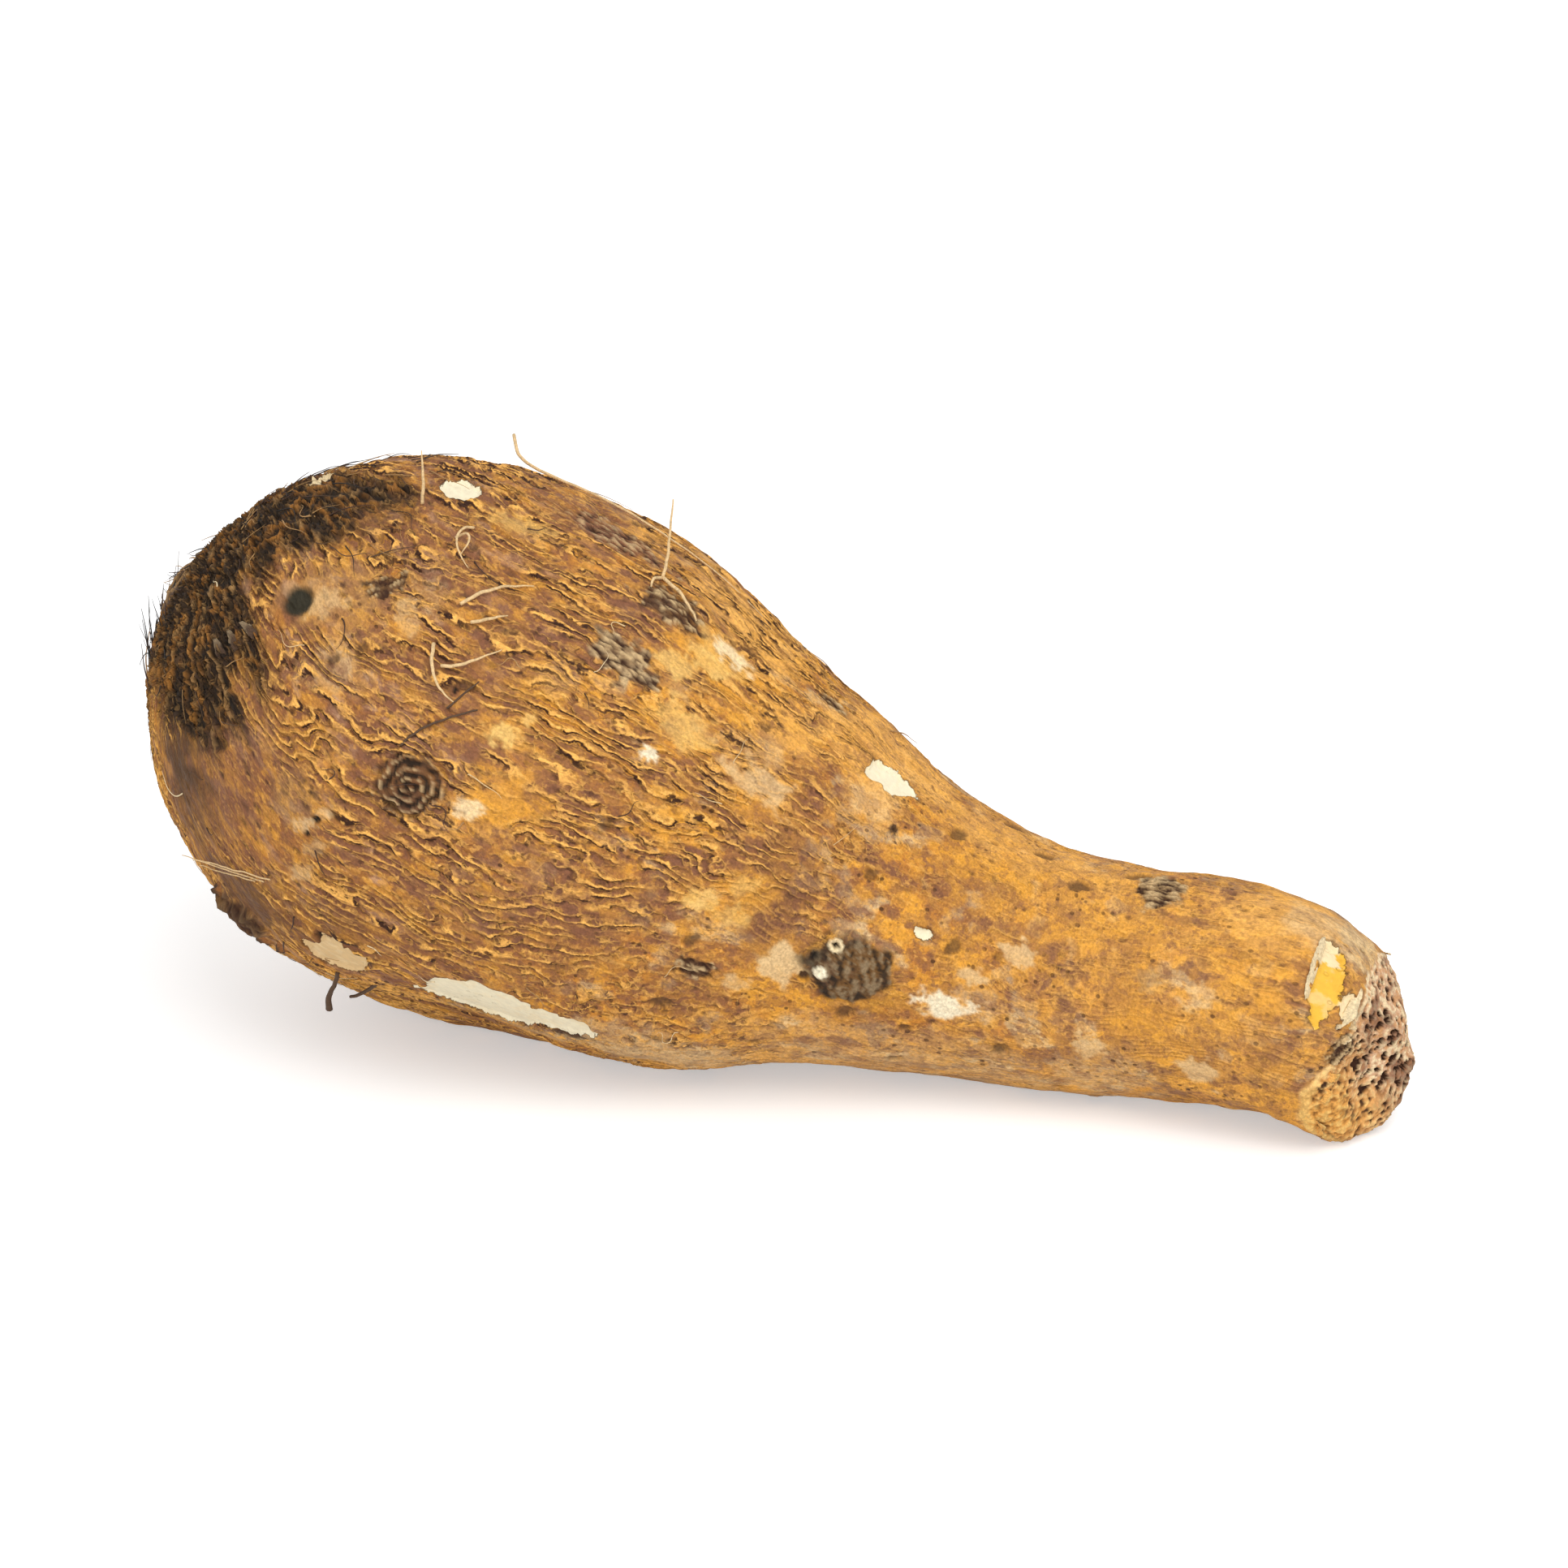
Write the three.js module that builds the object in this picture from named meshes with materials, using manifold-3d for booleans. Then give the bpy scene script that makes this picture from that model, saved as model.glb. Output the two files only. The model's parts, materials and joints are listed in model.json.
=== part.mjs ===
// A taro root: one club-shaped cormel with a fat body, a long bent neck and a ragged end where it broke
// off the mother corm. It grew as one piece, so it is one solid. It lies on its side on the plane z = 0.
// Millimetres, +Z up, the neck towards +X. The origin is on the resting plane, under the middle of its box.
import * as THREE from "three";
import { mergeVertices } from "three/addons/utils/BufferGeometryUtils.js";
import Module from "manifold-3d";

// ---- Driving dimensions ----------------------------------------------------------------------------

const CROWN_X = -87; // the rounded crown, where the next leaves would grow
const BREAK_X = 82.4; // the broken end
const BODY_RADIUS = 36.2; // the widest place of the body
const NECK_RADIUS = 15.4; // the middle of the neck
const END_RADIUS = 12.6; // behind the rim of the broken end
const SETTLE = 1.5; // how far the underside is flattened where the root rests
const BREAK_SLANT = 0.33; // how much further the break reaches at the bottom, per millimetre of height
const BREAK_DEPTH = 12; // how far back from the break its lumps begin
const CUT_DEPTH = 40; // thickness of the slab that trims what would lie below the resting plane

const ROWS = 62; // rings from the crown to the middle of the broken face
const COLUMNS = 60; // vertices in each ring

// The line through the middle of the root: [x, sideways, height]. The crown lifts off the plane, and the
// neck runs along it and turns a little to one side.
const SPINE = [
  [CROWN_X - 2, 4, 46],
  [-78, 3, 46.2],
  [-62, 1.5, 45.6],
  [-46, 0.5, 43.6],
  [-30, 0, 38.8],
  [-14, 0, 32.2],
  [2, 0, 27.2],
  [18, 0, 22.4],
  [34, 0, 18.7],
  [50, 0, 17.5],
  [62, -1.2, 17.9],
  [70, -3, 17],
  [78, -6, 14.8],
  [BREAK_X + 4, -12, 12],
];

// Outline about that line: [x, radius], from the crown to the middle of the broken face.
const PROFILE = [
  [CROWN_X, 0],
  [CROWN_X + 1.2, 9],
  [CROWN_X + 4.5, 17.4],
  [CROWN_X + 11, 25.6],
  [CROWN_X + 21, 32.4],
  [-54, BODY_RADIUS - 0.2],
  [-40, BODY_RADIUS],
  [-26, BODY_RADIUS - 1.2],
  [-12, 31.5],
  [2, 26.8],
  [14, 21.8],
  [26, 18.2],
  [40, NECK_RADIUS + 0.7],
  [56, NECK_RADIUS],
  [68, NECK_RADIUS - 0.6],
  [76, END_RADIUS + 0.8],
  [BREAK_X - 3.5, END_RADIUS],
  [BREAK_X - 0.5, END_RADIUS - 2.2],
  [BREAK_X + 0.8, END_RADIUS - 6],
  [BREAK_X, 0],
];

// Places on the surface are given by x and by an angle about the spine in degrees: 0 is +Y, 90 is up,
// 180 is -Y and 270 is down.

// Broad swellings and hollows: length is along the root, width is in degrees round it.
const SWELLINGS = [
  { x: -36, angle: 287, length: 22, width: 34, height: 6.9 }, // the belly it rests on
  { x: -29, angle: 238, length: 17, width: 20, height: -2.8 }, // the flatter side of the belly
  { x: 9, angle: 255, length: 8, width: 32, height: -1.5 }, // where the neck lifts clear of the plane
  { x: 77, angle: 95, length: 9, width: 60, height: 1.8 }, // the upper lip of the broken end
  { x: 84, angle: 264, length: 4.5, width: 42, height: 4.4 }, // the lower lip
];

// Eyes, the dormant side buds: low round mounds, wide apart along the root.
const EYES = [
  { x: -41, angle: 165, radius: 6, height: 0.9 },
  { x: -26.5, angle: 102, radius: 5, height: 1 },
  { x: 15, angle: 176, radius: 6.5, height: 1.2 },
  { x: 54.5, angle: 96, radius: 3.5, height: 0.6 },
  { x: -58, angle: 30, radius: 5.5, height: 0.9 },
  { x: -10, angle: 350, radius: 5.5, height: 1 },
  { x: 38, angle: 12, radius: 4.5, height: 0.8 },
];

// ---- Shape -----------------------------------------------------------------------------------------

const wasm = await Module();
wasm.setup();

const spineCurve = new THREE.CubicInterpolant(
  SPINE.map(([x]) => x),
  SPINE.flatMap(([, sideways, height]) => [sideways, height]),
  2,
);

function spineAt(x) {
  const [sideways, height] = spineCurve.evaluate(x);
  return new THREE.Vector3(x, sideways, height);
}

// Directions across the spine: aside is level, and rise is square to it and to the spine.
function sectionAt(x) {
  const along = spineAt(x + 1).sub(spineAt(x - 1)).normalize();
  const aside = new THREE.Vector3(0, 0, 1).cross(along).normalize();
  const rise = along.clone().cross(aside);
  return { centre: spineAt(x), aside, rise };
}

// The shorter way round between two angles, in degrees.
function turnBetween(a, b) {
  return ((a - b + 540) % 360) - 180;
}

function swellingHeight(x, angle) {
  let height = 0;
  for (const s of SWELLINGS) {
    const along = (x - s.x) / s.length;
    const round = turnBetween(angle, s.angle) / s.width;
    height += s.height * Math.exp(-along * along - round * round);
  }
  return height;
}

function eyeHeight(x, angle, radius) {
  let height = 0;
  for (const eye of EYES) {
    const across = radius * THREE.MathUtils.degToRad(turnBetween(angle, eye.angle));
    const away = Math.hypot(x - eye.x, across) / eye.radius;
    height += eye.height * Math.exp(-away * away);
  }
  return height;
}

// Slow unevenness, as a share of the radius, so that no section is a true circle.
function unevenness(x, angle) {
  const turn = THREE.MathUtils.degToRad(angle);
  const lobes = 0.016 * Math.sin(2 * turn + 0.035 * x + 0.6);
  const ripples = 0.01 * Math.sin(3 * turn - 0.06 * x + 2) + 0.006 * Math.sin(5 * turn + 0.11 * x);
  return lobes + ripples;
}

// The break isn't flat: torn fibres leave it lumpy, the more so towards its rim.
function tornHeight(x, radius, angle) {
  const turn = THREE.MathUtils.degToRad(angle);
  const share = THREE.MathUtils.smoothstep(x, BREAK_X - BREAK_DEPTH, BREAK_X - 1);
  const slant = -BREAK_SLANT * radius * Math.sin(turn);
  const rim = 0.6 * Math.sin(4 * turn + 5.76) + 0.4 * Math.sin(7 * turn + 3.6);
  const face = 0.6 * Math.sin(0.9 * radius + 3 * turn);
  return share * (slant + (rim * radius) / END_RADIUS + face);
}

function surfacePoint(x, radius, angle) {
  const { centre, aside, rise } = sectionAt(x);
  const turn = THREE.MathUtils.degToRad(angle);
  const onSkin = Math.min(1, radius / END_RADIUS);
  const lift = onSkin * (swellingHeight(x, angle) + eyeHeight(x, angle, radius));
  const reach = radius * (1 + unevenness(x, angle)) + lift;
  const point = centre
    .addScaledVector(aside, reach * Math.cos(turn))
    .addScaledVector(rise, reach * Math.sin(turn));
  point.x += tornHeight(x, radius, angle);
  return point;
}

// A lathed outline, bent along the spine and given its lumps.
function rootGeometry() {
  const outline = new THREE.SplineCurve(PROFILE.map(([x, radius]) => new THREE.Vector2(radius, x)));
  const lathed = new THREE.LatheGeometry(outline.getSpacedPoints(ROWS), COLUMNS);
  const place = lathed.attributes.position;
  for (let i = 0; i < place.count; i++) {
    const radius = Math.hypot(place.getX(i), place.getZ(i));
    const angle = THREE.MathUtils.radToDeg(Math.atan2(place.getX(i), place.getZ(i)));
    const point = surfacePoint(place.getY(i), Math.abs(radius), angle);
    place.setXYZ(i, point.x, point.y, point.z);
  }
  return lathed;
}

// ---- Solids ----------------------------------------------------------------------------------------

function toSolid(geometry) {
  const bare = geometry.clone();
  bare.deleteAttribute("normal");
  bare.deleteAttribute("uv");
  const merged = mergeVertices(bare, 1e-3);
  return new wasm.Manifold(
    new wasm.Mesh({
      numProp: 3,
      vertProperties: merged.attributes.position.array,
      triVerts: new Uint32Array(merged.index.array),
    }),
  );
}

function toGeometry(solid) {
  const mesh = solid.getMesh();
  return new THREE.BufferGeometry()
    .setAttribute("position", new THREE.BufferAttribute(mesh.vertProperties, 3))
    .setIndex(new THREE.BufferAttribute(mesh.triVerts, 1));
}

// Everything below the resting plane is pressed flat.
function cutAtRestingPlane(solid) {
  const slab = new THREE.BoxGeometry(3 * BREAK_X, 4 * BODY_RADIUS, CUT_DEPTH);
  return solid.subtract(toSolid(slab.translate(0, 0, -CUT_DEPTH / 2)));
}

const skin = new THREE.MeshStandardMaterial({ color: 0xa8752f, roughness: 0.85, metalness: 0 });

const settled = toSolid(rootGeometry().translate(0, 0, -SETTLE));
const rootShape = toGeometry(cutAtRestingPlane(settled));
rootShape.computeBoundingBox();
const middle = rootShape.boundingBox.getCenter(new THREE.Vector3());
const root = new THREE.Mesh(rootShape.translate(-middle.x, -middle.y, 0), skin);
root.name = "taro_root";

const part = new THREE.Group();
part.add(root);

export default part;
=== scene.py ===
"""The looks of the taro root: ridged golden-brown skin, corky eyes, pale scars, a torn end and rootlets.

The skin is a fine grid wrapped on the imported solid. Places on it are given as (x, angle): x in millimetres
along the frame's X axis, and the angle round the root in degrees, 0 towards +Y, 90 up, 180 towards -Y and
270 down. Lengths are millimetres until a mesh is made.
"""

import json
import math
from functools import partial, reduce
from itertools import product
from types import SimpleNamespace

import bpy
import numpy as np
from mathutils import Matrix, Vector
from mathutils.bvhtree import BVHTree

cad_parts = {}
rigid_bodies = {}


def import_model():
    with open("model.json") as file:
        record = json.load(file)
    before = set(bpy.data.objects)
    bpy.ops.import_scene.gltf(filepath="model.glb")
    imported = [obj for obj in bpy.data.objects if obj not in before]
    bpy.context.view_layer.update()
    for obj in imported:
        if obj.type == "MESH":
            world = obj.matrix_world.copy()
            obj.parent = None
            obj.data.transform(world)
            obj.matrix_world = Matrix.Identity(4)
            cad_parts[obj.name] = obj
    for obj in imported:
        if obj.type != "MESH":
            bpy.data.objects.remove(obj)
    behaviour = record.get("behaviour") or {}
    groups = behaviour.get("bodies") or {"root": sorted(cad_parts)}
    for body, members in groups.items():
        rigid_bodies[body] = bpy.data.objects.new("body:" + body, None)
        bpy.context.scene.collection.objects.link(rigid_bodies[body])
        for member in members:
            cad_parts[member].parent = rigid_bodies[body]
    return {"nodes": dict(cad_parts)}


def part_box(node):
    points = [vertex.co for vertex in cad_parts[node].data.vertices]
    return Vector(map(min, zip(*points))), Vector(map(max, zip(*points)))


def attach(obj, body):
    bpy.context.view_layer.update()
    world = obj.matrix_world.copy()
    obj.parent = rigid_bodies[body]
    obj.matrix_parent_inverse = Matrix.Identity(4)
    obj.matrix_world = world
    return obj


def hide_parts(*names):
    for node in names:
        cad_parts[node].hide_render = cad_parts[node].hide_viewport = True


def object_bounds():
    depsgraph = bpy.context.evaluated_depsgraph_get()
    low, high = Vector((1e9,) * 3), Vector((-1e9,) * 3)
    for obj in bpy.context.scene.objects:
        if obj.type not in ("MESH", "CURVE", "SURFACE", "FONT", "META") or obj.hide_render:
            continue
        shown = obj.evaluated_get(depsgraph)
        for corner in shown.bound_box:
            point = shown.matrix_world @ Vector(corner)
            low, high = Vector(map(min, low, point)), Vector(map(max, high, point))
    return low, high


for leftover in list(bpy.data.objects):
    bpy.data.objects.remove(leftover)

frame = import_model()
cad_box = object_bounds()

# ---- Driving sizes ----

MM = 0.001
ROOT = "taro_root"
LOW, HIGH = (np.array(corner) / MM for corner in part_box(ROOT))

LINE_SLAB = 2.5  # half the thickness of the slabs whose middles give the root's middle line
LINE_DEGREE = 7  # of the polynomials through them
LINE_INSET = 8.0, 4.0  # how far inside the crown and the break the first and the last slab are
CROWN_FAN = 34.0  # how far inside the crown the rays start that find its round end
BREAK_FAN = 12.0  # the same at the broken end
CROWN_LEAN, BREAK_LEAN = 5.0, 9.0  # degrees between the rows of rays that are fanned there
CROWN_TILT = 0.5  # how far the growing point is tipped up from the end of the middle line
RAY_STEP = 3.0  # distance between the rows of rays along the root
RAY_COLUMNS = 60  # rays round the root, as many as the solid has facets
COLUMNS = 720  # vertices round the fine grid

STEP = 0.42  # distance between the rows of the fine grid
BREAK_STEP = 0.28  # the same on the last piece of skin
# the bands of skin, with the x at which each ends
BANDS = {"skin_crown": -55.0, "skin_body": -6.0, "skin_shoulder": 32.0, "skin_neck": 70.5}

SCARS = 60  # small scars of rootlets, scattered all over
RIDGES = 128  # ridges round the root
BODY_SLOPE, NECK_SLOPE = 0.58, 0.05  # how far the pattern slips round for each millimetre along
SLOPE_FADE = 20, 110  # from where to where along the skin the first slope turns into the second
SLIP_GIRTH = 15.0  # the least radius that it slips round at
CREST_AT = 0.68  # where a ridge is highest, as a share of the way across it
RIDGE_HEIGHT = 0.5
PLACE_ROWS = 2.6  # how many times its size, before and after a place, the rows about it reach
PLACE_ROUGH = 2.5  # how many times its size round a place its edge is roughened
NO_PEEL = -3.0  # the skin's peel where no peeled place is near
TONE_CALM = 0.4  # how much of the mottling a listed tone takes away; a dark one takes all
CROWN_STAIN = 14.0  # how far the dark crown reaches
TOP_STAIN, SIDE_STAIN_AND_SHADE = 40.0, 31.0  # how much further on top, and in front, where it is partly painted shade of the neighbouring roots
CROWN_ROWS = 85.0  # how far from the growing point the crown's stain can reach
BUD = 7.0  # radius of the growing point's rings
BREAK_REACH = 15.5  # from the middle of the break to the edge of the torn flesh
BREAK_ROWS = 30.0  # how far from the middle of the break the torn end can reach
RIM_FLAKES = 18  # flakes of skin round the break
LOOSE_FLOOR = 0.05  # the lowest that a rootlet or a flake hangs
LOOSE_GIRTH = 3.0  # the least radius that rootlets and flakes are laid round

# ---- Palette ----

BROWN = (0.35, 0.137, 0.033)
MAUVE = (0.205, 0.083, 0.042)
GOLD = (0.75, 0.34, 0.038)
AMBER = (0.55, 0.22, 0.033)
CREST = (0.88, 0.45, 0.105)
# near black: clefts, pits and dark fibres, and painted shadow below scales, ridges and torn skin edges
CLEFT_AND_SHADOW = (0.045, 0.016, 0.007)
SOOT = (0.012, 0.008, 0.005)
MOULD = (0.03, 0.025, 0.014)
UMBER = (0.080, 0.040, 0.018)
TAN = (0.42, 0.235, 0.085)
GREY = (0.25, 0.175, 0.095)
FLESH = (0.64, 0.39, 0.23)
BEIGE = (0.72, 0.50, 0.25)
CREAM = (0.88, 0.70, 0.42)
IVORY = (0.88, 0.79, 0.57)
YELLOW = (0.82, 0.47, 0.055)
BUTTER = (0.82, 0.52, 0.16)

# ---- Noise ----


def hashed(cell, seed):
    """A repeatable 30-bit number for each whole-number cell, of which the last axis is x, y, z."""
    mixed = (cell[..., 0] * 73856093) ^ (cell[..., 1] * 19349663) ^ (cell[..., 2] * 83492791)
    mixed = (mixed ^ (seed * 2654435761)) & 0xFFFFFFFF
    mixed = ((mixed ^ (mixed >> 13)) * 1274126177) & 0xFFFFFFFF
    return (mixed ^ (mixed >> 15)) & 0x3FFFFFFF


def thirds(number):
    """The three 10-bit parts of a 30-bit number, each from 0 to 1, as a last axis."""
    return np.stack([(number >> shift) & 1023 for shift in (0, 10, 20)], -1) / 1023.0


def noise(points, seed):
    """Smooth noise from about -1 to 1."""
    cell = np.floor(points).astype(np.int64)
    inside = points - cell
    fade = inside**3 * (inside * (inside * 6 - 15) + 10)
    total = np.zeros(points.shape[:-1])
    for corner in product((0, 1), repeat=3):
        slope = 2 * thirds(hashed(cell + corner, seed)) - 1
        share = np.prod(np.where(corner, fade, 1 - fade), -1)
        total += share * np.sum(slope * (inside - corner), -1)
    return 1.7 * total


def cloud(points, seed, octaves=3):
    """Noise with finer noise on it, each layer half as large and half as strong."""
    return sum(noise(points * 2**k, seed + 31 * k) / 2**k for k in range(octaves))


def cells(points, seed):
    """Distances to the nearest and to the second nearest of scattered points, one in each unit cube."""
    home = np.floor(points).astype(np.int64)
    nearest = np.full(points.shape[:-1], 9.0)
    second = nearest.copy()
    for step in product((-1, 0, 1), repeat=3):
        cell = home + step
        away = np.linalg.norm(points - cell - thirds(hashed(cell, seed)), axis=-1)
        second = np.minimum(second, np.maximum(nearest, away))
        nearest = np.minimum(nearest, away)
    return nearest, second


def smooth(low, high, value):
    """0 below low, 1 above high, and a smooth step between them. low may be the larger."""
    t = np.clip((value - low) / (high - low), 0, 1)
    return t * t * (3 - 2 * t)


# ---- The grid on the solid ----


def unit(vectors):
    """The vectors, each made 1 long."""
    return vectors / np.linalg.norm(vectors, axis=-1, keepdims=True)


def middle_line():
    """Polynomials in x for the sideways place and the height of the root's middle line."""
    points = np.array([vertex.co for vertex in frame["nodes"][ROOT].data.vertices]) / MM
    stations = np.arange(LOW[0] + LINE_INSET[0], HIGH[0] - LINE_INSET[1], RAY_STEP)
    slabs = [points[abs(points[:, 0] - x) < LINE_SLAB] for x in stations]
    middles = np.array([(slab.min(0) + slab.max(0)) / 2 for slab in slabs])
    return [np.poly1d(np.polyfit(stations, middles[:, axis], LINE_DEGREE)) for axis in (1, 2)]


def section(x, line):
    """The middle line's point at x, its direction, and two directions square to it: level, and up."""
    centre = np.array([x, line[0](x), line[1](x)])
    along = unit(np.array([1.0, line[0].deriv()(x), line[1].deriv()(x)]))
    aside = unit(np.cross((0, 0, 1), along))
    return centre, along, aside, np.cross(along, aside)


def ray_rows():
    """(x, lean) of each row of rays: fanned over the crown, square to the root, fanned over the break."""
    crown, end = LOW[0] + CROWN_FAN, HIGH[0] - BREAK_FAN
    rows = [(crown, -lean) for lean in np.arange(90, 0, -CROWN_LEAN)]
    rows += [(x, 0.0) for x in np.linspace(crown, end, round((end - crown) / RAY_STEP))]
    rows += [(end, lean) for lean in np.arange(BREAK_LEAN, 91, BREAK_LEAN)]
    return rows


def sampled_solid():
    """Points on the solid, in rows from the growing point to the middle of the break."""
    mesh = frame["nodes"][ROOT].data
    corners = [vertex.co / MM for vertex in mesh.vertices]
    tree = BVHTree.FromPolygons(corners, [tuple(face.vertices) for face in mesh.polygons])
    line = middle_line()
    turns = np.arange(RAY_COLUMNS) * 2 * math.pi / RAY_COLUMNS
    rows = []
    for x, lean in ray_rows():
        centre, along, aside, rise = section(x, line)
        swing = math.radians(lean)
        tilt = CROWN_TILT * rise * math.sin(swing) ** 2 if lean < 0 else 0
        outwards = np.cos(turns)[:, None] * aside + np.sin(turns)[:, None] * rise
        rays = math.cos(swing) * outwards + math.sin(swing) * along + tilt
        rows.append([tree.ray_cast(Vector(centre), Vector(ray))[0] for ray in rays])
    return np.array(rows)


def spline_weights(at, count):
    """For each place from 0 to count - 1, the weights of count + 2 control rows, the first of them at -1."""
    cell = np.clip(np.floor(at).astype(int), 0, count - 2)
    t = at - cell
    shares = [(1 - t) ** 3, 3 * t**3 - 6 * t**2 + 4, 1 + 3 * t + 3 * t**2 - 3 * t**3, t**3]
    weights = np.zeros((len(at), count + 2))
    for k, share in enumerate(shares):
        weights[np.arange(len(at)), cell + k] = share / 6
    return weights


def across_pole(rows, neighbour):
    """The row beyond a pole: the neighbour that the pole has inside, seen from the other side."""
    return np.roll(rows[neighbour], RAY_COLUMNS // 2, axis=0)[None]


def row_lengths(total, end):
    """Distances from the growing point at which the fine grid has rows, closer together past the end."""
    torn = np.linspace(end, total, round((total - end) / BREAK_STEP))
    return np.concatenate([np.arange(0, end, STEP), torn])


def fine_grid():
    """The smooth skin as a grid, with the directions and coordinates that the detail is laid out in."""
    control = sampled_solid()
    count = len(control)
    steps = np.linalg.norm(np.diff(control, axis=0), axis=2).mean(1)
    lengths = np.concatenate([[0], np.cumsum(steps)])
    mean_x = control[..., 0].mean(1)
    wanted = row_lengths(lengths[-1], np.interp(BANDS["skin_neck"], mean_x, lengths))
    padded = np.concatenate([across_pole(control, 1), control, across_pole(control, -2)])
    down = spline_weights(np.interp(wanted, lengths, np.arange(count)), count)
    angles = np.arange(COLUMNS) * 360.0 / COLUMNS
    round_padded = np.concatenate([padded[:, -1:], padded, padded[:, :2]], axis=1)
    across = spline_weights(angles / 360 * RAY_COLUMNS, RAY_COLUMNS + 1)
    place = np.einsum("ri,ijk,cj->rck", down, round_padded, across, optimize=True)
    for pole in (0, -1):
        place[pole] = place[pole].mean(0)
    skin = SimpleNamespace(place=place, length=wanted, angle=np.radians(angles))
    skin.station = np.maximum.accumulate(place[..., 0].mean(1))
    add_directions(skin)
    girth = np.linalg.norm(np.diff(place, axis=1, append=place[:, :1]), axis=2).sum(1) / (2 * math.pi)
    skin.girth = girth[:, None] + np.zeros(COLUMNS)
    slope = BODY_SLOPE + (NECK_SLOPE - BODY_SLOPE) * smooth(*SLOPE_FADE, wanted)
    slip = slope * np.gradient(wanted) / np.maximum(girth, SLIP_GIRTH)
    skin.turn = skin.angle - np.cumsum(slip)[:, None]
    ring = [wanted[:, None] + 0 * skin.turn, skin.girth * np.cos(skin.turn), skin.girth * np.sin(skin.turn)]
    skin.grain = np.stack(ring, -1)
    return skin


def normals_of(place):
    """Outward directions at the vertices of a closed grid."""
    down = np.gradient(place, axis=0)
    across = np.roll(place, -1, axis=1) - np.roll(place, 1, axis=1)
    out = np.cross(across, down)
    size = np.linalg.norm(out, axis=2, keepdims=True)
    out = out / np.maximum(size, 1e-9)
    for pole, neighbour in ((0, 1), (-1, -2)):
        out[pole] = out[neighbour].mean(0)
    return unit(out)


def add_directions(skin):
    """Adds the directions out of the skin, along it and round it."""
    skin.out = normals_of(skin.place)
    down = np.gradient(skin.place, axis=0)
    skin.along = unit(down - np.sum(down * skin.out, -1, keepdims=True) * skin.out)
    skin.round = np.cross(skin.out, skin.along)


# ---- Painting and lifting ----


def paint(skin, colour, share):
    """Mixes a colour into the skin where share is above 0."""
    skin.tint += np.clip(share, 0, 1)[..., None] * (np.array(colour) - skin.tint)


def calm(skin, share):
    """Takes the ridges and the mottling away where share is above 0."""
    skin.ridge *= 1 - share
    skin.mottle *= 1 - share


def part_of(skin, rows):
    """Some rows of the skin. What is painted or lifted on them is painted or lifted on the whole. What has
    no rows, such as the angles of the columns, stays whole."""
    total = len(skin.length)
    fields = vars(skin).items()
    return SimpleNamespace(**{key: value[rows] if len(value) == total else value for key, value in fields})


def about(skin, x, angle, length, width, turn=0.0, ragged=0.25, grit=0.6, seed=5):
    """The rows of the skin about a place, with u and v, the millimetres along and across from it, and away,
    which is 0 at the place and 1 at the edge of an ellipse with these half sizes. turn rotates the ellipse,
    in degrees from along the root to round it. ragged roughens its edge, in bites of grit times its size."""
    column = round(angle / 360 * COLUMNS) % COLUMNS
    row = int(np.argmin(abs(skin.station - x)))
    rows = np.flatnonzero(abs(skin.length - skin.length[row]) < PLACE_ROWS * max(length, width))
    here = part_of(skin, slice(rows[0], rows[-1] + 1))
    offset = here.place - skin.place[row, column]
    along, around = skin.along[row, column], skin.round[row, column]
    cosine, sine = math.cos(math.radians(turn)), math.sin(math.radians(turn))
    here.u = offset @ (cosine * along + sine * around)
    here.v = offset @ (cosine * around - sine * along)
    deep = offset @ skin.out[row, column] / max(length, width)
    here.away = np.sqrt((here.u / length) ** 2 + (here.v / width) ** 2 + deep**2)
    near = here.away < PLACE_ROUGH
    here.away[near] += ragged * cloud(here.place[near] / (grit * min(length, width)), seed)
    return here


def sector(skin, middle, width):
    """1 at an angle round the root, fading out over a width in degrees."""
    away = (np.degrees(skin.angle) - middle + 180) % 360 - 180
    return np.exp(-((away / width) ** 2))


def ground_colour(skin):
    """Brown on the body and golden on the neck, in drifting patches, then the larger listed tones."""
    grain, x = skin.grain, skin.station[:, None]
    slow = cloud(grain / (13, 9, 9), 11)
    quick = cloud(grain / (4.5, 3.5, 3.5), 12)
    neck = smooth(-45, 5, x)
    skin.tint = np.zeros(skin.place.shape) + BROWN
    paint(skin, AMBER, smooth(-0.3, 0.3, slow + 0.9 * neck - 0.35))
    paint(skin, GOLD, 0.8 * smooth(0.05, 0.5, 0.5 * slow + 0.9 * quick + 0.5 * neck - 0.25))
    paint(skin, MAUVE, 0.75 * smooth(0.0, 0.3, cloud(grain / (7, 4.5, 4.5), 13) - 0.1 * neck))
    paint(skin, BEIGE, 0.75 * neck * smooth(0.35, 0.6, cloud(grain / (5.5, 4.5, 4.5), 14)))
    paint(skin, BEIGE, 0.15 * smooth(20, 50, x))
    paint(skin, FLESH, 0.5 * smooth(-20, -45, x) * smooth(0.15, 0.5, cloud(grain / (5, 3.5, 3.5), 15)))
    for colour, places in TONES:
        for x, angle, length, width, share in places:
            here = about(skin, x, angle, length, width, ragged=0.35, grit=0.6)
            near = smooth(1.2, 0.6, here.away)
            paint(here, colour, share * near)
            here.mottle *= 1 - (1 if colour is UMBER else TONE_CALM) * share * near


def lumps(skin):
    """Slow unevenness of the whole root, and faint rings across the neck."""
    neck = smooth(-20, 10, skin.station[:, None])
    skin.lift += 0.2 + 0.45 * cloud(skin.grain / (15, 11, 11), 41)
    skin.lift += 0.05 * neck * np.sin(skin.length[:, None] / 1.5 + 2.5 * noise(skin.grain / 9, 43))
    skin.lift += 0.10 * neck * cloud(skin.grain / (2.4, 1.7, 1.7), 44, 2)


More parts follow.
